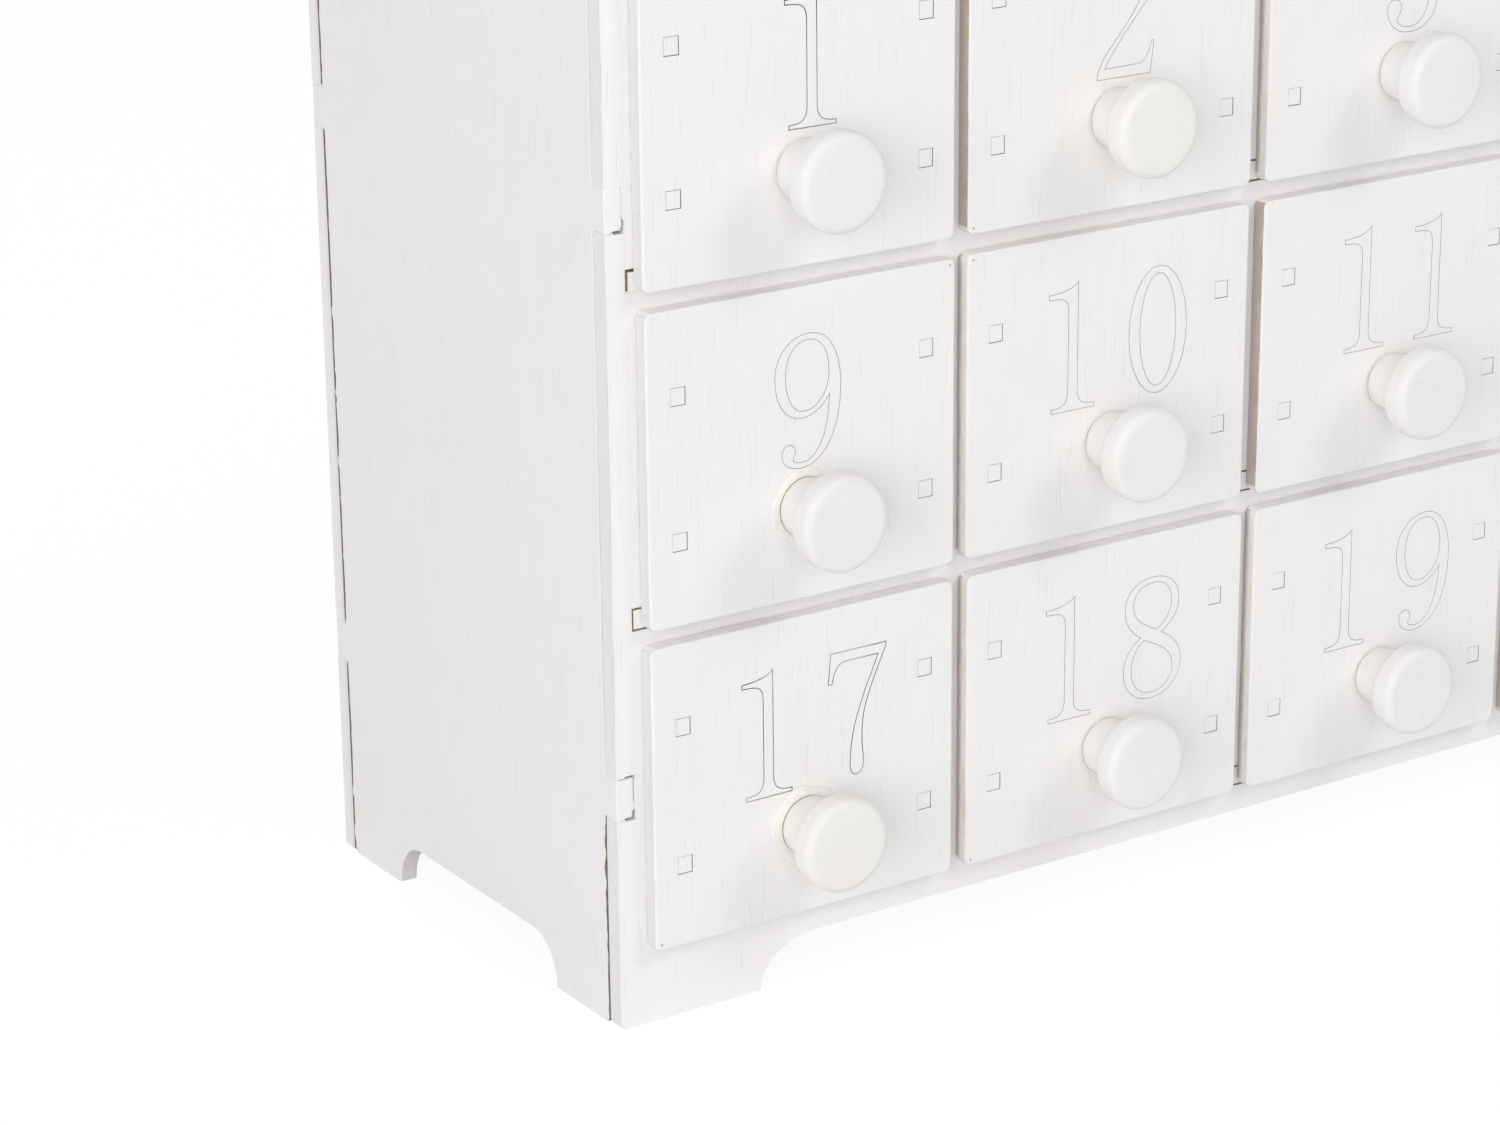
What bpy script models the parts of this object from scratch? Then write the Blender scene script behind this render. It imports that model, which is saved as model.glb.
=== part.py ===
"""Advent calendar: a white painted cabinet of 24 small drawers, eight columns by three rows.

Sheet pieces with tab joints make the case: a face frame, two sides, a back and a top, with two shelves
that cross seven dividers inside. Each drawer is a tray behind an overlay front and has a turned knob.
Metres, +Z up. The feet stand at z = 0, the drawers open toward -Y, and the origin is at the middle of
the footprint.
"""

import math

import bmesh
import bpy
from mathutils import Matrix

# Driving dimensions, in metres.
COLUMNS = 8
ROWS = 3
CASE_SHEET = 0.003
DRAWER_SHEET = 0.0025
JOINT_GAP = 0.0003

# Drawer fronts, and what the face frame shows around them.
FRONT_WIDTH = 0.055
FRONT_HEIGHT = 0.0484
FRONT_GAP = 0.003
FRONT_CORNER_RADIUS = 0.0012
EDGE_MARGIN = 0.0045
TOP_MARGIN = 0.0045
APRON_HEIGHT = 0.0047

# Feet, which are what the curved cut-outs leave of the frame, the sides and the back.
FOOT_HEIGHT = 0.0078
FRONT_FOOT_LENGTH = 0.0253
FRONT_FOOT_CURVE = 0.0105
SIDE_FOOT_LENGTH = 0.0156
SIDE_FOOT_CURVE = 0.0070
SIDE_DEPTH = 0.0812
FOOT_CORNER_RADIUS = 0.0010

# Tabs that join the sheets of the case.
SIDE_TAB_LENGTH = 0.0066
LOWER_SIDE_TAB_RISE = 0.0250
UPPER_SIDE_TAB_RISE = 0.0122
SHELF_TAB_LENGTH = 0.0066
SHELF_TAB_EVERY = 2
END_TAB_WEB = 0.0010

# Drawer trays behind the fronts.
SIDE_OVERLAP = 0.0041
LOWER_OVERLAP = 0.0030
UPPER_OVERLAP = 0.0033
RUNNING_CLEARANCE = 0.0003
SIDE_PLAY = 0.0004
HEAD_PLAY = 0.0005
BACK_CLEARANCE = 0.0020
TRAY_TAB_HEIGHT = 0.0027
TRAY_TAB_SPACING = 0.0222
TRAY_TAB_RECESS = 0.0002

# Turned knob, from its glued foot to its flat face.
KNOB_HEIGHT = 0.0111
KNOB_FOOT_RADIUS = 0.0048
KNOB_NECK_RADIUS = 0.0042
KNOB_NECK_HEIGHT = 0.0030
KNOB_HEAD_RADIUS = 0.0076
KNOB_HEAD_THICKNESS = 0.0046
KNOB_RIM_RADIUS = 0.0015
KNOB_BACK_RADIUS = 0.0014
KNOB_AXIS_RISE = 0.0145

# How finely round shapes are drawn, and what counts as one point.
KNOB_SEGMENTS = 16
RIM_STEPS = 3
NECK_STEPS = 2
CORNER_STEPS = 3
FOOT_CURVE_STEPS = 6
WELD_DISTANCE = 0.00001

# Colours and roughness of the paint and of the bare plywood.
WHITE = (0.86, 0.85, 0.845)
CREAM = (0.84, 0.82, 0.79)
BIRCH = (0.78, 0.68, 0.52)
PAINT_ROUGHNESS = 0.55
KNOB_ROUGHNESS = 0.45
PLYWOOD_ROUGHNESS = 0.7

# Places that follow from the dimensions.
PITCH_X = FRONT_WIDTH + FRONT_GAP
PITCH_Z = FRONT_HEIGHT + FRONT_GAP
CASE_WIDTH = COLUMNS * PITCH_X - FRONT_GAP + 2 * EDGE_MARGIN
LOWEST_FRONT = FOOT_HEIGHT + APRON_HEIGHT
CASE_HEIGHT = LOWEST_FRONT + ROWS * PITCH_Z - FRONT_GAP + TOP_MARGIN
CASE_DEPTH = 2 * (CASE_SHEET + JOINT_GAP) + SIDE_DEPTH
FRONT_PROUD = JOINT_GAP + DRAWER_SHEET
KNOB_PROUD = FRONT_PROUD + JOINT_GAP + KNOB_HEIGHT
FACE_Y = (KNOB_PROUD - CASE_DEPTH) / 2
INNER_FRONT_Y = FACE_Y + CASE_SHEET + JOINT_GAP
INNER_BACK_Y = INNER_FRONT_Y + SIDE_DEPTH
BACK_Y = FACE_Y + CASE_DEPTH
MIDDLE_Y = (INNER_FRONT_Y + INNER_BACK_Y) / 2
INNER_HALF_WIDTH = CASE_WIDTH / 2 - CASE_SHEET - JOINT_GAP
TRAY_WIDTH = FRONT_WIDTH - 2 * SIDE_OVERLAP
TRAY_HEIGHT = FRONT_HEIGHT - LOWER_OVERLAP - RUNNING_CLEARANCE - UPPER_OVERLAP
TRAY_BACK = INNER_BACK_Y + JOINT_GAP - BACK_CLEARANCE - FACE_Y
OPENING_HALF_WIDTH = TRAY_WIDTH / 2 + SIDE_PLAY


def column_x(column):
    """The middle of a drawer column, counted from 0 at the left."""
    return (column - (COLUMNS - 1) / 2) * PITCH_X


def divider_x(number):
    """The middle of a divider, which stands behind the gap to the right of its column."""
    return column_x(number) + PITCH_X / 2


def front_bottom(row):
    """The lower edge of the drawer fronts of a row, counted from 0 at the bottom."""
    return LOWEST_FRONT + row * PITCH_Z


def shelf_top(row):
    """The face that the trays of a row run on."""
    return front_bottom(row) + LOWER_OVERLAP


def clear_scene():
    for obj in list(bpy.data.objects):
        bpy.data.objects.remove(obj, do_unlink=True)


def new_collection(name):
    collection = bpy.data.collections.new(name)
    bpy.context.scene.collection.children.link(collection)
    return collection


def paint(name, colour, roughness):
    material = bpy.data.materials.new(name)
    material.use_nodes = True
    shader = material.node_tree.nodes["Principled BSDF"]
    shader.inputs["Base Color"].default_value = (*colour, 1)
    shader.inputs["Roughness"].default_value = roughness
    shader.inputs["Metallic"].default_value = 0
    return material


def quarter_curve(centre, run, rise, start, steps):
    """Points of a quarter ellipse round a centre, from the angle start, turning left."""
    angles = [start + math.pi / 2 * step / steps for step in range(steps + 1)]
    return [(centre[0] + run * math.cos(a), centre[1] + rise * math.sin(a)) for a in angles]


def footed_edge(half_length, foot_length, curve_run):
    """The lower edge of a sheet from left to right: a foot, the curved cut-out and the other foot."""
    shoulder = half_length - foot_length - curve_run
    radius = FOOT_CORNER_RADIUS
    rising = quarter_curve((-shoulder, 0), curve_run, FOOT_HEIGHT, math.pi / 2, FOOT_CURVE_STEPS)
    falling = quarter_curve((shoulder, 0), curve_run, FOOT_HEIGHT, 0, FOOT_CURVE_STEPS)
    left_corner = (-half_length + radius, radius)
    right_corner = (half_length - radius, radius)
    return [
        *quarter_curve(left_corner, radius, radius, math.pi, CORNER_STEPS),
        *reversed(rising),
        *reversed(falling),
        *quarter_curve(right_corner, radius, radius, 3 * math.pi / 2, CORNER_STEPS),
    ]


def side_tab_spans():
    """The lower and upper end of each tab on the sides."""
    lower = front_bottom(0) + LOWER_SIDE_TAB_RISE
    upper = front_bottom(ROWS - 1) + UPPER_SIDE_TAB_RISE
    return [(middle - SIDE_TAB_LENGTH / 2, middle + SIDE_TAB_LENGTH / 2) for middle in (lower, upper)]


def shelf_tab_spans():
    """The left and right end of each tab on the shelves, the bottom and the top, from left to right."""
    outer = INNER_HALF_WIDTH - JOINT_GAP
    inner = column_x(COLUMNS - 1) + OPENING_HALF_WIDTH + END_TAB_WEB + JOINT_GAP
    bars = [divider_x(n) for n in range(SHELF_TAB_EVERY - 1, COLUMNS - 1, SHELF_TAB_EVERY)]
    middle_tabs = [(x - SHELF_TAB_LENGTH / 2, x + SHELF_TAB_LENGTH / 2) for x in bars]
    return [(-outer, -inner), *middle_tabs, (inner, outer)]


def widened(span):
    """A tab's span with the joint gap on both sides."""
    return span[0] - JOINT_GAP, span[1] + JOINT_GAP


def notched_panel():
    """The outline that the face frame and the back share: feet, notches for side tabs and for top tabs."""
    half = CASE_WIDTH / 2
    inner = half - CASE_SHEET - JOINT_GAP
    ledge = CASE_HEIGHT - CASE_SHEET - JOINT_GAP
    outline = footed_edge(half, FRONT_FOOT_LENGTH, FRONT_FOOT_CURVE)
    for low, high in map(widened, side_tab_spans()):
        outline += [(half, low), (inner, low), (inner, high), (half, high)]
    outline += [(half, CASE_HEIGHT)]
    for left, right in map(widened, reversed(shelf_tab_spans())):
        outline += [(right, CASE_HEIGHT), (right, ledge), (left, ledge), (left, CASE_HEIGHT)]
    outline += [(-half, CASE_HEIGHT)]
    for low, high in map(widened, reversed(side_tab_spans())):
        outline += [(-half, high), (-inner, high), (-inner, low), (-half, low)]
    return outline


def shelf_mortises(y):
    """Boxes that cut the holes for the tabs of the bottom and the shelves through a sheet at y."""
    boxes = []
    for row in range(ROWS):
        low, high = widened((shelf_top(row) - CASE_SHEET, shelf_top(row)))
        for left, right in map(widened, shelf_tab_spans()):
            boxes.append(((left, y - CASE_SHEET, low), (right, y + CASE_SHEET, high)))
    return boxes


def drawer_openings(y):
    """Boxes that cut the drawers' openings through a sheet at y."""
    boxes = []
    for row in range(ROWS):
        low = shelf_top(row)
        high = low + RUNNING_CLEARANCE + TRAY_HEIGHT + HEAD_PLAY
        for column in range(COLUMNS):
            left = column_x(column) - OPENING_HALF_WIDTH
            right = column_x(column) + OPENING_HALF_WIDTH
            boxes.append(((left, y - CASE_SHEET, low), (right, y + CASE_SHEET, high)))
    return boxes


def split_by_slot(step, slot):
    """A step of an edge, in two where the slot lies inside it."""
    left, right, depth = step
    if not left < slot[0] < slot[1] < right:
        return [step]
    return [(left, slot[0], depth), (slot[1], right, depth)]


def rear_steps(slotted):
    """The tabs and divider slots of a rear edge from right to left, each with the y that it reaches."""
    steps = [(left, right, BACK_Y) for left, right in shelf_tab_spans()]
    if slotted:
        half_slot = CASE_SHEET / 2 + JOINT_GAP
        for number in range(COLUMNS - 1):
            slot = (divider_x(number) - half_slot, divider_x(number) + half_slot)
            steps = [piece for step in steps for piece in split_by_slot(step, slot)]
            steps.append((*slot, MIDDLE_Y - JOINT_GAP / 2))
    return sorted(steps, reverse=True)


def tabbed_sheet_outline(slotted):
    """A level sheet with tabs in front and behind, and with slots for the dividers from behind."""
    outline = [(-INNER_HALF_WIDTH, INNER_FRONT_Y)]
    for left, right in shelf_tab_spans():
        outline += [(left, INNER_FRONT_Y), (left, FACE_Y), (right, FACE_Y), (right, INNER_FRONT_Y)]
    outline += [(INNER_HALF_WIDTH, INNER_FRONT_Y), (INNER_HALF_WIDTH, INNER_BACK_Y)]
    for left, right, reach in rear_steps(slotted):
        outline += [(right, INNER_BACK_Y), (right, reach), (left, reach), (left, INNER_BACK_Y)]
    outline += [(-INNER_HALF_WIDTH, INNER_BACK_Y)]
    return outline


def sheet_object(name, outline, thickness, material, collection, place):
    """A flat sheet cut to an outline, with its middle plane placed by a matrix."""
    curve = bpy.data.curves.new(name, "CURVE")
    curve.dimensions = "2D"
    curve.fill_mode = "NONE"
    curve.extrude = thickness / 2
    spline = curve.splines.new("POLY")
    spline.points.add(len(outline) - 1)
    for point, (u, v) in zip(spline.points, outline):
        point.co = (u, v, 0, 1)
    spline.use_cyclic_u = True
    drawing = bpy.data.objects.new(name + "_drawing", curve)
    collection.objects.link(drawing)
    graph = bpy.context.evaluated_depsgraph_get()
    graph.update()
    mesh = bpy.data.meshes.new_from_object(drawing.evaluated_get(graph))
    bpy.data.objects.remove(drawing, do_unlink=True)
    fill_faces(mesh)
    mesh.name = name
    mesh.materials.clear()
    mesh.materials.append(material)
    obj = bpy.data.objects.new(name, mesh)
    obj.matrix_world = place
    collection.objects.link(obj)
    return obj


def fill_faces(mesh):
    """Closes the two faces of a sheet, which the curve leaves as a ribbon round its edge."""
    sheet = bmesh.new()
    sheet.from_mesh(mesh)
    bmesh.ops.remove_doubles(sheet, verts=sheet.verts, dist=WELD_DISTANCE)
    rims = [edge for edge in sheet.edges if edge.is_boundary]
    bmesh.ops.holes_fill(sheet, edges=rims)
    bmesh.ops.recalc_face_normals(sheet, faces=sheet.faces)
    sheet.to_mesh(mesh)
    sheet.free()


def facing_front(y):
    """Places a sheet drawn in x and z, with its middle plane at y."""
    return Matrix.Translation((0, y, 0)) @ Matrix.Rotation(math.pi / 2, 4, "X")


def facing_side(x):
    """Places a sheet drawn in y and z, with its middle plane at x."""
    turn = Matrix.Rotation(math.pi / 2, 4, "Z") @ Matrix.Rotation(math.pi / 2, 4, "X")
    return Matrix.Translation((x, 0, 0)) @ turn


def facing_up(z):
    return Matrix.Translation((0, 0, z))


def box_mesh(name, boxes):
    """One mesh of axis-aligned boxes, each given by its lowest and highest corner."""
    mesh = bpy.data.meshes.new(name)
    build = bmesh.new()
    for low, high in boxes:
        size = [b - a for a, b in zip(low, high)]
        middle = [(a + b) / 2 for a, b in zip(low, high)]
        place = Matrix.Translation(middle) @ Matrix.Diagonal((*size, 1))
        bmesh.ops.create_cube(build, size=1, matrix=place)
    build.to_mesh(mesh)
    build.free()
    return mesh


def helper(name, mesh, cutters):
    obj = bpy.data.objects.new(name, mesh)
    obj.display_type = "WIRE"
    obj.hide_render = True
    cutters.objects.link(obj)
    return obj


def add_boolean(target, tool, operation):
    modifier = target.modifiers.new(tool.name, "BOOLEAN")
    modifier.operation = operation
    modifier.object = tool
    modifier.solver = "EXACT"


def add_triangles(target):
    """Splits the large flat faces evenly, so that points in one line leave no sliver."""
    modifier = target.modifiers.new("triangles", "TRIANGULATE")
    modifier.quad_method = "BEAUTY"
    modifier.ngon_method = "BEAUTY"


def make_face_frame(collection, cutters):
    white = paint("face_frame_paint", WHITE, PAINT_ROUGHNESS)
    middle = FACE_Y + CASE_SHEET / 2
    frame = sheet_object("face_frame", notched_panel(), CASE_SHEET, white, collection, facing_front(middle))
    holes = box_mesh("frame_holes", drawer_openings(middle) + shelf_mortises(middle))
    add_boolean(frame, helper("frame_holes", holes, cutters), "DIFFERENCE")
    add_triangles(frame)


def make_back(collection, cutters):
    white = paint("back_panel_paint", WHITE, PAINT_ROUGHNESS)
    middle = BACK_Y - CASE_SHEET / 2
    back = sheet_object("back_panel", notched_panel(), CASE_SHEET, white, collection, facing_front(middle))
    holes = box_mesh("back_mortises", shelf_mortises(middle))
    add_boolean(back, helper("back_mortises", holes, cutters), "DIFFERENCE")
    add_triangles(back)


def make_sides(collection):
    white = paint("side_panel_paint", WHITE, PAINT_ROUGHNESS)
    half = SIDE_DEPTH / 2
    outline = footed_edge(half, SIDE_FOOT_LENGTH, SIDE_FOOT_CURVE)
    reach = JOINT_GAP + CASE_SHEET
    for low, high in side_tab_spans():
        outline += [(half, low), (half + reach, low), (half + reach, high), (half, high)]
    outline += [(half, CASE_HEIGHT), (-half, CASE_HEIGHT)]
    for low, high in reversed(side_tab_spans()):
        outline += [(-half, high), (-half - reach, high), (-half - reach, low), (-half, low)]
    outline = [(y + MIDDLE_Y, z) for y, z in outline]
    offset = CASE_WIDTH / 2 - CASE_SHEET / 2
    for name, x in (("left_side_panel", -offset), ("right_side_panel", offset)):
        add_triangles(sheet_object(name, outline, CASE_SHEET, white, collection, facing_side(x)))


def make_top(collection):
    white = paint("top_panel_paint", WHITE, PAINT_ROUGHNESS)
    place = facing_up(CASE_HEIGHT - CASE_SHEET / 2)
    outline = tabbed_sheet_outline(False)
    add_triangles(sheet_object("top_panel", outline, CASE_SHEET, white, collection, place))


def make_shelves(collection):
    birch = paint("shelf_plywood", BIRCH, PLYWOOD_ROUGHNESS)
    for row in range(1, ROWS):
        name = "lower_shelf" if row == 1 else "upper_shelf"
        place = facing_up(shelf_top(row) - CASE_SHEET / 2)
        outline = tabbed_sheet_outline(True)
        add_triangles(sheet_object(name, outline, CASE_SHEET, birch, collection, place))


def make_bottom_with_dividers(collection, cutters):
    """The bottom and the dividers that are glued into it, slotted from the front for the shelves."""
    birch = paint("bottom_plywood", BIRCH, PLYWOOD_ROUGHNESS)
    place = facing_up(shelf_top(0) - CASE_SHEET / 2)
    outline = tabbed_sheet_outline(False)
    bottom = sheet_object("bottom_with_dividers", outline, CASE_SHEET, birch, collection, place)
    rooted = shelf_top(0) - CASE_SHEET / 2
    crown = CASE_HEIGHT - CASE_SHEET - JOINT_GAP
    front = INNER_FRONT_Y + JOINT_GAP
    back = INNER_BACK_Y - JOINT_GAP
    uprights = []
    for number in range(COLUMNS - 1):
        left = divider_x(number) - CASE_SHEET / 2
        right = divider_x(number) + CASE_SHEET / 2
        uprights.append(((left, front, rooted), (right, back, crown)))
    slots = []
    for row in range(1, ROWS):
        low, high = widened((shelf_top(row) - CASE_SHEET, shelf_top(row)))
        start = (-INNER_HALF_WIDTH, INNER_FRONT_Y - CASE_SHEET, low)
        slots.append((start, (INNER_HALF_WIDTH, MIDDLE_Y + JOINT_GAP / 2, high)))
    add_boolean(bottom, helper("dividers", box_mesh("dividers", uprights), cutters), "UNION")
    add_boolean(bottom, helper("shelf_slots", box_mesh("shelf_slots", slots), cutters), "DIFFERENCE")
    add_triangles(bottom)


def front_outline():
    """A drawer front with its corners rounded, round the middle of its width, from its lower edge up."""
    inset = FRONT_WIDTH / 2 - FRONT_CORNER_RADIUS
    low = FRONT_CORNER_RADIUS
    high = FRONT_HEIGHT - FRONT_CORNER_RADIUS
    outline = []
    for quarter, centre in enumerate([(inset, high), (-inset, high), (-inset, low), (inset, low)]):
        start = quarter * math.pi / 2
        radius = FRONT_CORNER_RADIUS
        outline += quarter_curve(centre, radius, radius, start, CORNER_STEPS)
    return outline


def make_drawer_mesh(collection, cutters, material):
    """One drawer, drawn round the middle of its front's lower edge, with y = 0 on the frame's face."""
    front_back = -JOINT_GAP
    place = facing_front(front_back - DRAWER_SHEET / 2)
    pattern = sheet_object("pattern", front_outline(), DRAWER_SHEET, material, collection, place)
    low = LOWER_OVERLAP + RUNNING_CLEARANCE
    high = low + TRAY_HEIGHT
    half = TRAY_WIDTH / 2
    root = front_back - DRAWER_SHEET / 2
    tray = [((-half, root, low), (half, TRAY_BACK, high))]
    inner = half - DRAWER_SHEET
    cavity_high = high + DRAWER_SHEET
    cavity = [((-inner, front_back, low + DRAWER_SHEET), (inner, TRAY_BACK - DRAWER_SHEET, cavity_high))]
    middle = (low + high) / 2
    recesses = []
    for x in (-half + DRAWER_SHEET / 2, half - DRAWER_SHEET / 2):
        for z in (middle - TRAY_TAB_SPACING / 2, middle + TRAY_TAB_SPACING / 2):
            face = -FRONT_PROUD
            start = (x - DRAWER_SHEET / 2, face - DRAWER_SHEET, z - TRAY_TAB_HEIGHT / 2)
            end = (x + DRAWER_SHEET / 2, face + TRAY_TAB_RECESS, z + TRAY_TAB_HEIGHT / 2)
            recesses.append((start, end))
    add_boolean(pattern, helper("tray_block", box_mesh("tray_block", tray), cutters), "UNION")
    add_boolean(pattern, helper("tray_cavity", box_mesh("tray_cavity", cavity), cutters), "DIFFERENCE")
    add_boolean(pattern, helper("tab_ends", box_mesh("tab_ends", recesses), cutters), "DIFFERENCE")
    add_triangles(pattern)
    return pattern


def finished_mesh(pattern, name):
    """The pattern's mesh in its own place, with its modifiers and its turn applied."""
    graph = bpy.context.evaluated_depsgraph_get()
    graph.update()
    mesh = bpy.data.meshes.new_from_object(pattern.evaluated_get(graph))
    mesh.transform(pattern.matrix_world)
    mesh.name = name
    bpy.data.objects.remove(pattern, do_unlink=True)
    return mesh


def knob_profile():
    """Radius and height of the turned outline, from the middle of the face down to the glued foot."""
    rim_centre = (KNOB_HEAD_RADIUS - KNOB_RIM_RADIUS, KNOB_HEIGHT - KNOB_RIM_RADIUS)
    rim = quarter_curve(rim_centre, KNOB_RIM_RADIUS, KNOB_RIM_RADIUS, 0, RIM_STEPS)
    under_head = KNOB_HEIGHT - KNOB_HEAD_THICKNESS
    back_centre = (KNOB_HEAD_RADIUS - KNOB_BACK_RADIUS, under_head + KNOB_BACK_RADIUS)
    back = quarter_curve(back_centre, KNOB_BACK_RADIUS, KNOB_BACK_RADIUS, 3 * math.pi / 2, NECK_STEPS)
    hollow_run = KNOB_HEAD_RADIUS - KNOB_BACK_RADIUS - KNOB_NECK_RADIUS
    hollow_centre = (KNOB_NECK_RADIUS + hollow_run, KNOB_NECK_HEIGHT)
    hollow_rise = under_head - KNOB_NECK_HEIGHT
    hollow = quarter_curve(hollow_centre, hollow_run, hollow_rise, math.pi / 2, NECK_STEPS)
    return [(0, KNOB_HEIGHT), *reversed(rim), *reversed(back[1:]), *hollow, (KNOB_FOOT_RADIUS, 0), (0, 0)]


def make_knob_mesh():
    mesh = bpy.data.meshes.new("knob_profile")
    build = bmesh.new()
    verts = [build.verts.new((radius, 0, height)) for radius, height in knob_profile()]
    for upper, lower in zip(verts, verts[1:]):
        build.edges.new((upper, lower))
    build.to_mesh(mesh)
    build.free()
    return mesh


def turn_knob(obj):
    screw = obj.modifiers.new("turned", "SCREW")
    screw.angle = 2 * math.pi
    screw.steps = KNOB_SEGMENTS
    screw.render_steps = KNOB_SEGMENTS
    screw.axis = "Z"
    screw.use_merge_vertices = True
    screw.merge_threshold = WELD_DISTANCE


def make_drawers(collection, cutters):
    white = paint("drawer_paint", WHITE, PAINT_ROUGHNESS)
    cream = paint("knob_paint", CREAM, KNOB_ROUGHNESS)
    drawer_mesh = finished_mesh(make_drawer_mesh(collection, cutters, white), "drawer")
    knob_mesh = make_knob_mesh()
    knob_mesh.materials.append(cream)
    for number in range(COLUMNS * ROWS):
        row = ROWS - 1 - number // COLUMNS
        column = number % COLUMNS
        label = f"drawer_{number + 1:02d}"
        slide = bpy.data.objects.new(label + "_slide", None)
        slide.location = (column_x(column), FACE_Y, front_bottom(row))
        collection.objects.link(slide)
        box = bpy.data.objects.new(label + "_box", drawer_mesh)
        box.parent = slide
        collection.objects.link(box)
        knob = bpy.data.objects.new(label + "_knob", knob_mesh)
        knob.parent = slide
        knob.location = (0, -FRONT_PROUD - JOINT_GAP, KNOB_AXIS_RISE)
        knob.rotation_euler = (math.pi / 2, 0, 0)
        turn_knob(knob)
        collection.objects.link(knob)


def main():
    clear_scene()
    collection = new_collection("advent_calendar")
    cutters = new_collection("cutters")
    make_face_frame(collection, cutters)
    make_back(collection, cutters)
    make_sides(collection)
    make_top(collection)
    make_shelves(collection)
    make_bottom_with_dividers(collection, cutters)
    make_drawers(collection, cutters)


main()
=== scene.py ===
"""Advent calendar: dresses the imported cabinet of 24 numbered drawers, eight columns by three rows.

Laser-cut sheets with a thin coat of white paint over scorched edges, bare plywood inside, an engraved
number on each drawer front and a turned knob that is glued below it. Metres, +Z up, fronts toward -Y.
"""

import math

import bmesh
import bpy
from bpy.props import FloatProperty, FloatVectorProperty, IntProperty, PointerProperty
from mathutils import Matrix, Vector, noise
from mathutils.geometry import interpolate_bezier


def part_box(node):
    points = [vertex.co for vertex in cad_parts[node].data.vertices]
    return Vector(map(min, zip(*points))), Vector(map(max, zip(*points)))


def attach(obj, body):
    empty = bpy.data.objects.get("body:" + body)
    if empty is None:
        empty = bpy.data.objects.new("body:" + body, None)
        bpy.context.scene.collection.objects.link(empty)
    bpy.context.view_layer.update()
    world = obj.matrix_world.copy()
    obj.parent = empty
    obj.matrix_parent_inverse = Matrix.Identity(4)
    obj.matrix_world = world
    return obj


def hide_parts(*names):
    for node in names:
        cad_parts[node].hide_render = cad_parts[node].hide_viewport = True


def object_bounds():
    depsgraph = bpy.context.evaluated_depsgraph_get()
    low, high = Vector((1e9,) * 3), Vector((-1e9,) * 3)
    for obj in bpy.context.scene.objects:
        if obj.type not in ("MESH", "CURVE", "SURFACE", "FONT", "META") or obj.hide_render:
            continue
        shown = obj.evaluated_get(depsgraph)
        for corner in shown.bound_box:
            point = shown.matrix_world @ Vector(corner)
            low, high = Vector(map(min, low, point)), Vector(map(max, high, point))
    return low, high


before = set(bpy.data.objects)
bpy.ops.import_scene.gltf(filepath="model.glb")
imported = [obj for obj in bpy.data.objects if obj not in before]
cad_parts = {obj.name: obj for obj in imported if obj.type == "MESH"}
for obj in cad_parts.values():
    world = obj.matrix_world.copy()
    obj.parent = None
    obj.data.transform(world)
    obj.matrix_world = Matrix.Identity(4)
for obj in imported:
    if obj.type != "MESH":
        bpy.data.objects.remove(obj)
CAD_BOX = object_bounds()

bl_info = {
    "name": "Advent Calendar Cabinet",
    "version": (1, 0, 0),
    "blender": (4, 5, 0),
    "location": "View3D > Sidebar > Calendar",
    "description": "Dresses a packed cabinet of drawers in painted sheets, engraved fronts and knobs",
    "category": "Object",
}

COLUMNS = 8
DRAWERS = 24

# The noise that moves cut edges and drawers a little is the same in each run.
NOISE_SEED = 24
noise.seed_set(NOISE_SEED)

# The case, as its solids have it.
SHEET = 0.003
JOINT_GAP = 0.0003
ROW_PITCH = 0.0514
LOWEST_TAB = 0.0125
FACE_Y = -0.0368
BACK_Y = 0.0510
HALF_WIDTH = 0.235
SIDE_TABS = ((0.0342, 0.0408), (0.1242, 0.1308))
END_TAB = (0.2281, 0.2314)
MIDDLE_Y = 0.0071
CROWN = 0.1649

# Where the joint round a side tab stays open: along its foot and crown from the inner corner, and up its
# inner end.
OPEN_RUN = 0.0015
OPEN_RISE = 0.0018

# How much of a normal lies along an axis when its face counts as looking that way.
FACES_ALONG = 0.7

# Waves in a metre of the unevenness of a cut edge, and of the roughness of an open joint.
EDGE_WAVES = 260
JOINT_WAVES = 700

# The drawers, as their solids have them.
DRAWER_SHEET = 0.0025
FRONT_SHEET = 0.00277
TRAY_WIDTH = 0.0468
TRAY_HEIGHT = 0.0418
TRAY_RISE = 0.0033
TAB_HEIGHT = 0.0027
TAB_RISES = (0.0131, 0.0353)

# How a sheet that is drawn flat is turned to stand across the case, and along its depth.
STANDING = Matrix.Rotation(math.pi / 2, 4, "X")
SIDEWAYS = Matrix.Rotation(math.pi / 2, 4, "Z") @ STANDING

SIDE_PLAY, UP_PLAY = 0.0004, 0.0003

# How far drawers sit off their middle, to the right and up. The rest follow a noise.
DRIFTS = {
    1: (0.0001, 0.0),
    2: (-0.0003, 0.0001),
    3: (-0.0002, 0.0),
    9: (0.0003, 0.0),
    10: (-0.0003, 0.0001),
    11: (-0.0001, -0.0001),
    17: (0.0003, 0.00025),
    18: (0.0001, 0.0002),
    19: (-0.0001, 0.0001),
}

# Numbers, drawn in millimetres from the lower left of each digit. A stretch of two values is a point, and
# one of six is a curve: its two handles and its end.
DIGIT_HEIGHT = 20.7
QUARTER_TURN_HANDLE = 0.5523


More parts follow.
